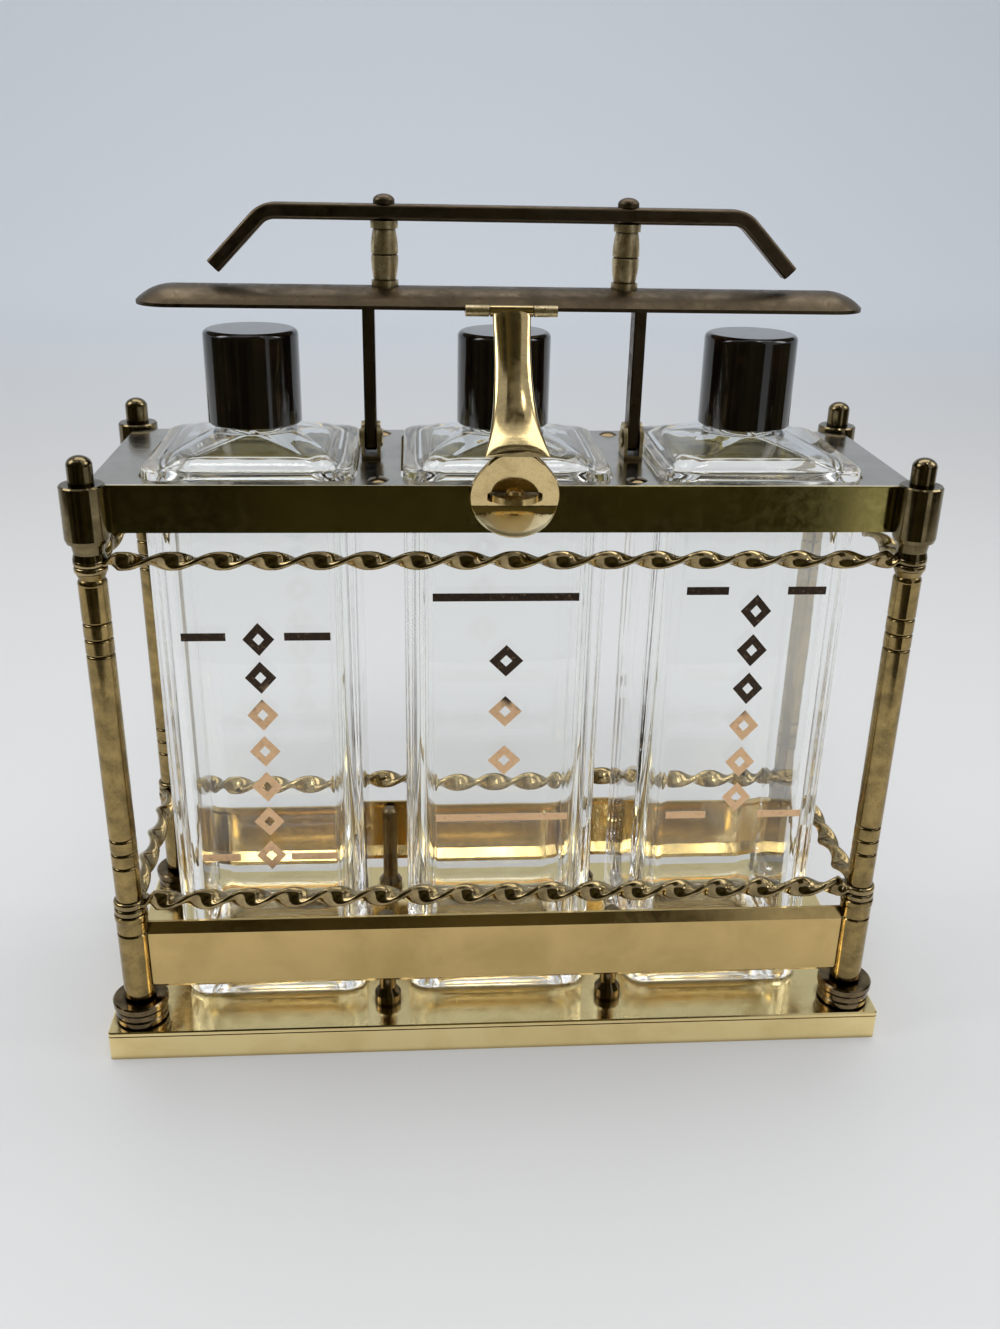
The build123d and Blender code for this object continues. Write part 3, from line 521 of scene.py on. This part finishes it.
def build_rail(node, sizes):
    """One twisted rail in place of its CAD node."""
    low, high, middle = span(node)
    long_rail = node.endswith(("front", "back"))
    upper = node.startswith("upper")
    length = (high - low).x if long_rail else (high - low).y
    eyelet = ((high - low).y if long_rail else (high - low).x) / 2
    width, thickness = UPPER_RAIL if upper else LOWER_RAIL
    spacing = length - 2 * eyelet
    half_turns = sizes.long_half_turns if long_rail else sizes.short_half_turns
    inner_end = spacing / 2 - eyelet
    even_end = inner_end - sizes.quick_turn
    section = full_oval(width / 2, thickness / 2, sizes.fullness)
    # The flat ends run into the eyelets by a fifth of their radius.
    flat_end = inner_end + 0.2 * eyelet
    # Places along the rail and the turns made by then: flat, a quick quarter, the even twist,
    # a quick quarter and flat again.
    even_turns = 0.5 * half_turns
    corners = ((-flat_end, 0.0), (-inner_end, 0.0), (-even_end, 0.25),
               (even_end, 0.25 + even_turns), (inner_end, 0.5 + even_turns),
               (flat_end, 0.5 + even_turns))
    rings = []
    for (x0, turns0), (x1, turns1) in zip(corners, corners[1:]):
        count = max(1, round(2 * (turns1 - turns0) * sizes.steps_per_half_turn))
        for step in range(count):
            share = step / count
            x = x0 + (x1 - x0) * share
            rings.append(turned_section(section, x, turns0 + (turns1 - turns0) * share))
    rings.append(turned_section(section, *corners[-1]))
    parts = [rings_to_mesh(rings, True, True)]
    for sign in (-1, 1):
        parts.append(eyelet_ring(sign * spacing / 2, eyelet, RAIL_HOLE, thickness))
    points, faces = merged(parts)
    turn = Matrix.Identity(3) if long_rail else Matrix.Rotation(math.pi / 2, 3, "Z")
    points = [middle + turn @ p for p in points]
    piece = new_piece(node + "_twisted", points, faces, "frame", "rail", 50)
    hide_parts(node)


def turned_section(section, x, turns):
    """A rail's section at x after some left-handed turns."""
    angle = -2 * math.pi * turns
    cos, sin = math.cos(angle), math.sin(angle)
    return [Vector((x, p.x * cos - p.y * sin, p.x * sin + p.y * cos)) for p in section]


def eyelet_ring(x, outer, inner, thickness, around=40):
    """A flat ring with rounded rims, about Z at x."""
    half = thickness / 2
    soft = 0.28 * thickness
    nick = 0.3 * soft
    profile = [(inner, -half), (outer - soft, -half), (outer - nick, -half + nick),
               (outer, -half + soft), (outer, half - soft), (outer - nick, half - nick),
               (outer - soft, half), (inner, half)]
    rings = []
    for step in range(around):
        angle = 2 * math.pi * step / around
        rings.append([Vector((x + r * math.cos(angle), r * math.sin(angle), z))
                      for r, z in profile])
    return rings_to_mesh(rings, join_ends=True)


class TANTALUS_OT_pan(bpy.types.Operator):
    """Finishes the top pan, its rivets, the clevises with their pins and the lock eye"""
    bl_idname = "tantalus.pan"
    bl_label = "Top pan"

    def execute(self, context):
        dress(("top_pan",), "skirt")
        dress(("plate_rivets",), "dark")
        dress(("clevis", "pivot_pin"), "pillar")
        dress(("lock_eye",), "eye")
        return {"FINISHED"}


class TANTALUS_OT_lid(bpy.types.Operator):
    """Finishes the lid bar, its arms, the carrying handle and the hasp"""
    bl_idname = "tantalus.lid"
    bl_label = "Lid bar, handle and hasp"

    def execute(self, context):
        dress(("lid_bar", "lid_arm", "handle_bar", "handle_nut"), "lid")
        dress(("handle_pillar", "hinge_leaf", "hinge_pin"), "pillar")
        build_hasp()
        return {"FINISHED"}


def build_hasp():
    """The hasp: a knuckle, a neck flared to an arched edge, and a slotted plate with a lip."""
    low, high, middle = span("hasp")
    _, eye_high, _ = span("lock_eye")
    knuckle, knuckle_half, around = 1.9 * MM, 7.3 * MM, 32
    plate_ahead, plate_below_eye = 31.28 * MM, 1.05 * MM
    hinge = Vector((middle.x, high.y - knuckle, high.z - knuckle))
    plate_centre = Vector((middle.x, hinge.y - plate_ahead, eye_high.z - plate_below_eye))
    parts = [hasp_neck(hinge, low.y), hasp_plate(plate_centre)]
    angles = [2 * math.pi * i / around for i in range(around)]
    ends = [[Vector((hinge.x + side * knuckle_half, hinge.y + knuckle * math.cos(angle),
                     hinge.z + knuckle * math.sin(angle))) for angle in angles]
            for side in (1, -1)]
    parts.append(rings_to_mesh(ends, True, True))
    points, faces = merged(parts)
    piece = new_piece("hasp_dressed", points, faces, "hasp", "hasp", 45)
    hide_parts("hasp")


def hasp_neck(hinge, front_y):
    """The neck from the knuckle to the flared edge over the plate."""
    run = hinge.y - front_y
    # Share of the run, then drop, width, thickness and how far the middle of the section is
    # drawn back, all in millimetres.
    stations = (
        (0.00, 0.0, 13.2, 3.4, 0.0), (0.05, 3.0, 12.9, 3.9, 0.0), (0.14, 9.3, 12.5, 4.4, 0.0),
        (0.25, 15.4, 12.5, 4.6, 0.0), (0.36, 21.3, 13.0, 4.6, 0.0), (0.48, 26.6, 13.9, 4.5, 0.0),
        (0.60, 31.0, 15.2, 4.3, 0.2), (0.72, 34.4, 16.8, 3.9, 0.6), (0.83, 37.0, 18.7, 3.3, 1.3),
        (0.92, 38.9, 20.2, 2.6, 2.0), (0.97, 39.9, 21.0, 2.0, 2.4), (0.99, 40.3, 21.2, 1.2, 2.5))
    places = [Vector((hinge.x, hinge.y - share * run, hinge.z - drop * MM))
              for share, drop, *_ in stations]
    rings = []
    for index, (_, _, width, thickness, draw) in enumerate(stations):
        ahead = places[min(index + 1, len(places) - 1)]
        behind = places[max(index - 1, 0)]
        along = (ahead - behind).normalized()
        across = Vector((1, 0, 0))
        out = across.cross(along)
        ring = []
        for point in full_oval(width / 2 * MM, thickness / 2 * MM, 0.8, 40):
            back = draw * MM * (1 - (2 * point.x / (width * MM)) ** 2)
            ring.append(places[index] + across * point.x + out * point.y - along * back)
        rings.append(ring)
    return rings_to_mesh(rings, True, True)


def hasp_plate(centre):
    """The round plate, slotted for the eye and bent out below into a finger lip."""
    # Millimetres: the disc, its foot, the neck at its top and half the sheet's thickness,
    # then the slot, then the bend.
    radius, foot, neck_half, neck_top, half_sheet = 15.0, 15.4, 8.5, 17.0, 0.9
    slot_x, slot_z, slot_round = 9.2, 1.9, 1.5
    bend_start, bend_radius, bend = 2.8, 4.5, math.radians(62)
    tilt = math.radians(15)
    around, steps = 120, 18

    def placed(x, down, out):
        """From the flat pattern and a height over its middle surface to the bent plate."""
        past = down - bend_start
        if past <= 0:
            up, front = -down, 0.0
            normal_up, normal_front = 0.0, 1.0
        else:
            angle = min(past / bend_radius, bend)
            straight = max(past - bend_radius * bend, 0.0)
            up = -bend_start - bend_radius * math.sin(angle) - straight * math.cos(bend)
            front = bend_radius * (1 - math.cos(angle)) + straight * math.sin(bend)
            normal_up, normal_front = math.sin(angle), math.cos(angle)
        up += out * normal_up
        front += out * normal_front
        return centre + MM * Vector((x, -front * math.cos(tilt) - up * math.sin(tilt),
                                     up * math.cos(tilt) - front * math.sin(tilt)))

    def outline(angle):
        """A point of the plate's edge in the flat pattern: a disc with a neck at its top."""
        x, down = radius * math.sin(angle), -radius * math.cos(angle)
        if down > 0:
            return x, down * foot / radius
        blend = max(0.0, 1 - abs(x) / (neck_half + 2.5))
        blend = min(1.0, 2.2 * blend)
        return x, down - (neck_top - radius) * blend

    def slot_edge(angle):
        """A point of the slot's edge in the flat pattern."""
        x, down = slot_x * math.sin(angle), -slot_z * math.cos(angle)
        square = max(abs(math.sin(angle)), abs(math.cos(angle)))
        x = max(-slot_x, min(slot_x, x / square))
        down = max(-slot_z, min(slot_z, down / square))
        corner = max(0.0, abs(x) - (slot_x - slot_round)) / slot_round
        return x, down * math.sqrt(max(0.05, 1 - 0.6 * corner ** 2))

    rings = []
    # The outer face from the slot to the edge, then the inner face back to the slot.
    for start, end, side in ((0.0, 1.0, half_sheet), (1.0, 0.0, -half_sheet)):
        for step in range(steps + 1):
            share = start + (end - start) * step / steps
            share = share ** 0.9
            rim = max(0.0, (share - 0.95) / 0.05)
            out = side * math.sqrt(1 - 0.75 * rim ** 2)
            ring = []
            for i in range(around):
                angle = 2 * math.pi * i / around
                (x0, down0), (x1, down1) = slot_edge(angle), outline(angle)
                ring.append(placed(x0 + (x1 - x0) * share, down0 + (down1 - down0) * share, out))
            rings.append(ring)
    return rings_to_mesh(rings, join_ends=True)


# ---- bottles and caps --------------------------------------------------------


def build_bottle(side, sizes):
    """One thick square bottle in place of its CAD node."""
    node = "bottle_" + side
    low, high, middle = span(node)
    half = (high - low).x / 2 / MM
    wall = sizes.wall / MM
    bore = sizes.neck_bore / MM
    neck = NECK_RADIUS
    foot = low.z / MM
    rim = foot + RIM_HEIGHT
    shoulder = rim + SHOULDER_RISE
    top = high.z / MM
    floor = foot + sizes.bottom / MM
    # Each station: height, half width and corner radius, in millimetres. The outer ones rise
    # from the foot to the mouth, and the inner ones go down to the floor of the bottle.
    outer = [(foot + 0.8, half - 9.0, 6.0), (foot + 0.25, half - 5.0, 7.0), (foot, half - 3.6, 7.0),
             (foot + 0.3, half - 1.6, 7.6), (foot + 1.2, half - 0.4, 7.9), (foot + 2.6, half, 8.0)]
    for share in (0.1, 0.25, 0.5, 0.75, 0.9, 0.985):
        outer.append((foot + 2.6 + share * (rim - 4.6 - foot), half, 8.0))
    outer += [(rim - 1.5, half - 0.05, 8.0), (rim - 0.7, half - 0.35, 8.0),
              (rim - 0.2, half - 0.95, 7.8), (rim, half - 1.7, 7.6),
              (rim + 0.1, half - 2.5, 7.4), (rim + 0.45, half - 4.2, 7.2)]
    ramp = shoulder - rim
    for share in (0.15, 0.35, 0.55, 0.75, 0.88):
        width = half - 4.2 + (neck + 1.4 - half + 4.2) * share
        corner = 7.2 + (neck - 7.2) * share ** 1.5
        outer.append((rim + 0.45 + (ramp - 1.0) * share, width, corner))
    outer += [(shoulder - 0.15, neck + 0.5, neck), (shoulder + 0.6, neck, neck),
              (top - 0.8, neck, neck), (top - 0.2, neck - 0.3, neck), (top, neck - 1.0, neck)]
    inner = [(top, bore + 0.8, neck), (top - 0.6, bore, neck), (shoulder + 1.0, bore, neck),
             (shoulder - 2.0, bore + 0.6, neck)]
    inner_half = half - wall
    drop = ramp - 1.0
    for share in (0.15, 0.35, 0.55, 0.75, 0.9):
        width = bore + 1.2 + (inner_half - 2.4 - bore - 1.2) * share
        corner = neck + (8.0 - neck) * share
        inner.append((shoulder - 2.2 - drop * share, width, corner))
    inner += [(rim - 4.4, inner_half - 1.2, 7.4), (rim - 5.8, inner_half - 0.3, 7.0),
              (rim - 8.0, inner_half, 6.6)]
    for share in (0.1, 0.3, 0.5, 0.7, 0.9):
        inner.append((rim - 8.0 - share * (rim - 8.0 - floor - 8.0), inner_half, 6.6))
    inner += [(floor + 8.0, inner_half, 6.8), (floor + 5.2, inner_half - 0.5, 7.2),
              (floor + 2.8, inner_half - 1.8, 8.0), (floor + 1.1, inner_half - 4.0, 9.0),
              (floor + 0.3, inner_half - 7.0, 10.0), (floor, inner_half - 11.0, 9.0)]
    rings = []
    for z, width, corner in outer + inner:
        ring = rounded_square(width, corner)
        rings.append([Vector((middle.x + p.x * MM, middle.y + p.y * MM, z * MM)) for p in ring])
    points, faces = rings_to_mesh(rings, True, True)
    piece = new_piece(node + "_glass", points, faces, node, "glass", 60)
    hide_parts(node)


class TANTALUS_OT_bottles(bpy.types.Operator):
    """Builds the three thick square bottles with four-sided shoulders"""
    bl_idname = "tantalus.bottles"
    bl_label = "Bottles"

    def execute(self, context):
        for side in ("left", "middle", "right"):
            build_bottle(side, context.scene.tantalus_bottles)
        return {"FINISHED"}


class TANTALUS_OT_marks(bpy.types.Operator):
    """Lays the plain foil bars and lozenges on the bottles' front faces"""
    bl_idname = "tantalus.marks"
    bl_label = "Foil marks"

    def execute(self, context):
        low, _, _ = span("bottle_middle")
        # The foil turns from peach-gold to dark brown between these heights above the foot.
        dark_from, dark_to = 126.0 * MM, 134.0 * MM
        FINISHES["foil"] = foil_finish(low.z + dark_from, low.z + dark_to)
        # In millimetres: the bars' heights above the foot with their ends from the bottle's
        # middle, the column's offset with its top and foot, and a lozenge's half width and
        # half height.
        rows = {
            "left": dict(
                bars={155.5: ((-26.0, -10.5), (10.0, 26.3)), 64.8: ((-25.0, -10.7), (8.5, 26.0))},
                lozenges=7, column=(0.9, 154.5, 65.6), size=(5.6, 6.3)),
            "middle": dict(
                bars={170.0: ((-26.0, 26.0),), 80.6: ((-25.0, 25.3),)},
                lozenges=3, column=(0.5, 145.5, 105.1), size=(6.2, 6.2)),
            "right": dict(
                bars={172.0: ((-24.0, -8.8), (12.7, 26.6)), 80.2: ((-25.0, -9.6), (10.9, 27.9))},
                lozenges=6, column=(1.8, 164.2, 87.7), size=(5.6, 6.4)),
        }
        for side, row in rows.items():
            build_marks(side, row)
        return {"FINISHED"}


def slab(x0, x1, z0, z1, y, depth):
    """A thin upright plate on a bottle's face."""
    corners = ((x0, z0), (x1, z0), (x1, z1), (x0, z1))
    points = [Vector((x, face_y, z)) for face_y in (y, y + depth) for x, z in corners]
    faces = [(0, 1, 2, 3), (7, 6, 5, 4), (0, 4, 5, 1), (1, 5, 6, 2), (2, 6, 7, 3), (3, 7, 4, 0)]
    return points, faces


def lozenge(x, z, half_x, half_z, y, depth):
    """An open lozenge frame on a bottle's face."""
    opening = 0.36
    rings = []
    for scale, face_y in ((1.0, y + depth), (1.0, y), (opening, y), (opening, y + depth)):
        rings.append([Vector((x + scale * dx * half_x, face_y, z + scale * dz * half_z))
                      for dx, dz in ((1, 0), (0, 1), (-1, 0), (0, -1))])
    return rings_to_mesh(rings, join_ends=True)


def build_marks(side, row):
    """The foil bars and the column of lozenges on one bottle."""
    low, _, middle = span("bottle_" + side)
    proud, depth, half_bar = 0.06 * MM, 0.12 * MM, 1.5 * MM
    y = low.y - proud
    parts = []
    for height, bars in row["bars"].items():
        z = low.z + height * MM
        for start, end in bars:
            parts.append(slab(middle.x + start * MM, middle.x + end * MM,
                              z - half_bar, z + half_bar, y, depth))
    offset, top, foot = row["column"]
    half_x, half_z = row["size"]
    count = row["lozenges"]
    for index in range(count):
        z = low.z + (top + (foot - top) * index / (count - 1)) * MM
        parts.append(lozenge(middle.x + offset * MM, z, half_x * MM, half_z * MM, y, depth))
    points, faces = merged(parts)
    new_piece("foil_marks_" + side, points, faces, "bottle_" + side, "foil", 30)


class TANTALUS_OT_caps(bpy.types.Operator):
    """Finishes the glossy round caps"""
    bl_idname = "tantalus.caps"
    bl_label = "Caps"

    def execute(self, context):
        dress(("cap_",), "cap")
        return {"FINISHED"}


# ---- stage -------------------------------------------------------------------


def stage_sheet(settings):
    """A pale floor that curves up into a backdrop behind the object."""
    half_width, near, bend, radius, height = 7.0, -3.0, 1.8, 0.9, 3.0
    blend_from, blend_to = 0.7, 2.1
    steps = 16
    profile = [(near, 0.0), (bend, 0.0)]
    for step in range(1, steps + 1):
        angle = math.pi / 2 * step / steps
        profile.append((bend + radius * math.sin(angle), radius * (1 - math.cos(angle))))
    profile.append((bend + radius, height))
    points = [Vector((x, y, z)) for y, z in profile for x in (-half_width, half_width)]
    faces = [(2 * i, 2 * i + 1, 2 * i + 3, 2 * i + 2) for i in range(len(profile) - 1)]
    mesh = bpy.data.meshes.new("stage_sheet")
    mesh.from_pydata([tuple(p) for p in points], [], faces)
    for polygon in mesh.polygons:
        polygon.use_smooth = True
    sheet = bpy.data.objects.new("stage_sheet", mesh)
    bpy.context.scene.collection.objects.link(sheet)
    finish = Finish("pale_stage")
    wall_share = finish.ramp(finish.axis("Y"), blend_from, blend_to)
    colour = finish.mix(wall_share, tuple(settings.floor_colour), tuple(settings.wall_colour))
    finish.set(Base_Color=colour, Roughness=0.6)
    mesh.materials.append(finish.material)


def lamp(name, place, target, width, height, power):
    """A soft rectangular white lamp aimed at a point."""
    data = bpy.data.lights.new(name, "AREA")
    data.shape = "RECTANGLE"
    data.size = width
    data.size_y = height
    data.energy = power
    obj = bpy.data.objects.new(name, data)
    obj.location = place
    obj.rotation_mode = "QUATERNION"
    obj.rotation_quaternion = (Vector(target) - Vector(place)).to_track_quat("-Z", "Y")
    bpy.context.scene.collection.objects.link(obj)
    return obj


def dark_card():
    """Folding panels round the front, dark as an unlit room, that only shiny surfaces see."""
    # Corners in plan with the panel's height there. A narrow flap leans over the object.
    left_run = ((-1.00, 0.15, 0.42), (-0.85, -0.30, 0.50), (-0.50, -0.40, 1.20),
                (0.25, -0.40, 1.20))
    right_run = ((0.60, -0.60, 0.45), (0.92, -0.30, 0.50), (1.00, 0.15, 0.42))
    points, faces = [], []
    for run in (left_run, right_run):
        for index, (x, y, top) in enumerate(run):
            if index:
                base = len(points)
                faces.append((base - 2, base, base + 1, base - 1))
            points += [(x, y, 0.0), (x, y, top)]
    base = len(points)
    points += [(-0.06, -0.40, 1.20), (0.22, -0.40, 1.20), (0.22, 0.05, 1.36),
               (-0.06, 0.05, 1.36)]
    faces.append((base, base + 1, base + 2, base + 3))
    mesh = bpy.data.meshes.new("dark_card")
    mesh.from_pydata(points, [], faces)
    card = bpy.data.objects.new("dark_card", mesh)
    bpy.context.scene.collection.objects.link(card)
    finish = Finish("unlit_room")
    folds = finish.noise(9.0, 3.0, 0.5, 0.6, (1.0, 1.0, 0.25))
    share = finish.ramp(folds, 0.35, 0.7)
    finish.set(Base_Color=finish.mix(share, (0.020, 0.017, 0.009), (0.110, 0.094, 0.042)),
               Roughness=1.0, Specular_IOR_Level=0.0)
    mesh.materials.append(finish.material)
    card.visible_camera = False
    card.visible_diffuse = False
    card.visible_shadow = False
    card.visible_transmission = False


def aim_camera(settings):
    """Sets the camera by its place and its turns about the upright, level and view axes."""
    data = bpy.data.cameras.new("view")
    data.lens = settings.lens
    data.sensor_width = 36.0
    data.sensor_fit = "AUTO"
    data.clip_start = 0.01
    place = (-0.03258, -0.44760, 0.33535)
    yaw, pitch, roll = -0.0748, 0.4087, 0.0213
    forward_flat = Vector((-math.sin(yaw), math.cos(yaw), 0))
    right_flat = Vector((math.cos(yaw), math.sin(yaw), 0))
    forward = forward_flat * math.cos(pitch) - Vector((0, 0, 1)) * math.sin(pitch)
    up_flat = Vector((0, 0, 1)) * math.cos(pitch) + forward_flat * math.sin(pitch)
    right = right_flat * math.cos(roll) + up_flat * math.sin(roll)
    up = up_flat * math.cos(roll) - right_flat * math.sin(roll)
    camera = bpy.data.objects.new("view", data)
    camera.matrix_world = Matrix((
        (right.x, up.x, -forward.x, place[0]), (right.y, up.y, -forward.y, place[1]),
        (right.z, up.z, -forward.z, place[2]), (0, 0, 0, 1)))
    bpy.context.scene.collection.objects.link(camera)
    bpy.context.scene.camera = camera


def light_world():
    """Even pale surroundings, paler to rays that have passed through glass."""
    colour, strength, through_glass = (0.84, 0.86, 0.90, 1.0), 0.55, 0.95
    world = bpy.data.worlds.new("surroundings")
    world.use_nodes = True
    tree = world.node_tree
    background = tree.nodes["Background"]
    background.inputs["Color"].default_value = colour
    path = tree.nodes.new("ShaderNodeLightPath")
    level = tree.nodes.new("ShaderNodeMapRange")
    level.inputs["To Min"].default_value = strength
    level.inputs["To Max"].default_value = through_glass
    tree.links.new(path.outputs["Is Transmission Ray"], level.inputs["Value"])
    tree.links.new(level.outputs["Result"], background.inputs["Strength"])
    bpy.context.scene.world = world


class TANTALUS_OT_stage(bpy.types.Operator):
    """Makes the pale floor and backdrop, the soft lamps and the camera"""
    bl_idname = "tantalus.stage"
    bl_label = "Stage"

    def execute(self, context):
        settings = context.scene.tantalus_stage
        stage_sheet(settings)
        light_world()
        lamp("top_lamp", (0.05, 0.52, 1.5), (0, 0, 0.1), 1.5, 0.75, 8.0)
        lamp("left_lamp", (-1.2, 0.0, 1.2), (0, 0, 0.1), 0.7, 0.7, 6.0)
        lamp("right_lamp", (1.2, 0.0, 1.2), (0, 0, 0.1), 0.7, 0.7, 5.0)
        fill = lamp("front_lamp", (-0.1, -1.1, 1.5), (0, 0, 0.05), 0.9, 0.5, 12.0)
        fill.visible_glossy = False
        lamp("lip_lamp", (0.30, -0.35, 1.9), (0, -0.05, 0.2), 0.35, 0.25, 1.8)
        dark_card()
        aim_camera(settings)
        context.scene.view_settings.view_transform = "Standard"
        # Thick square glass guides light through many turns before it leaves.
        context.scene.cycles.max_bounces = settings.light_turns
        context.scene.cycles.transmission_bounces = settings.light_turns
        context.scene.cycles.glossy_bounces = settings.light_turns
        return {"FINISHED"}


class TANTALUS_PT_panel(bpy.types.Panel):
    """Lists the pieces that the add-on makes"""
    bl_idname = "TANTALUS_PT_panel"
    bl_label = "Tantalus"
    bl_space_type = "VIEW_3D"
    bl_region_type = "UI"
    bl_category = "Tantalus"

    def draw(self, context):
        for step in STEPS:
            self.layout.operator(step.bl_idname)
        scene = context.scene
        for group in (scene.tantalus_rails, scene.tantalus_bottles, scene.tantalus_stage):
            for name in group.bl_rna.properties.keys():
                if name not in {"rna_type", "name"}:
                    self.layout.prop(group, name)


STEPS = (
    TANTALUS_OT_base, TANTALUS_OT_posts, TANTALUS_OT_rails, TANTALUS_OT_pan, TANTALUS_OT_lid,
    TANTALUS_OT_bottles, TANTALUS_OT_marks, TANTALUS_OT_caps, TANTALUS_OT_stage)
CLASSES = (RailSettings, BottleSettings, StageSettings, *STEPS, TANTALUS_PT_panel)


def register():
    for cls in CLASSES:
        bpy.utils.register_class(cls)
    bpy.types.Scene.tantalus_rails = bpy.props.PointerProperty(type=RailSettings)
    bpy.types.Scene.tantalus_bottles = bpy.props.PointerProperty(type=BottleSettings)
    bpy.types.Scene.tantalus_stage = bpy.props.PointerProperty(type=StageSettings)


def unregister():
    del bpy.types.Scene.tantalus_stage
    del bpy.types.Scene.tantalus_bottles
    del bpy.types.Scene.tantalus_rails
    for cls in reversed(CLASSES):
        bpy.utils.unregister_class(cls)


def main():
    """Builds the whole dressed object and its stage."""
    register()
    make_finishes()
    for step in STEPS:
        getattr(bpy.ops.tantalus, step.bl_idname.split(".")[1])()


if __name__ == "__main__":
    main()
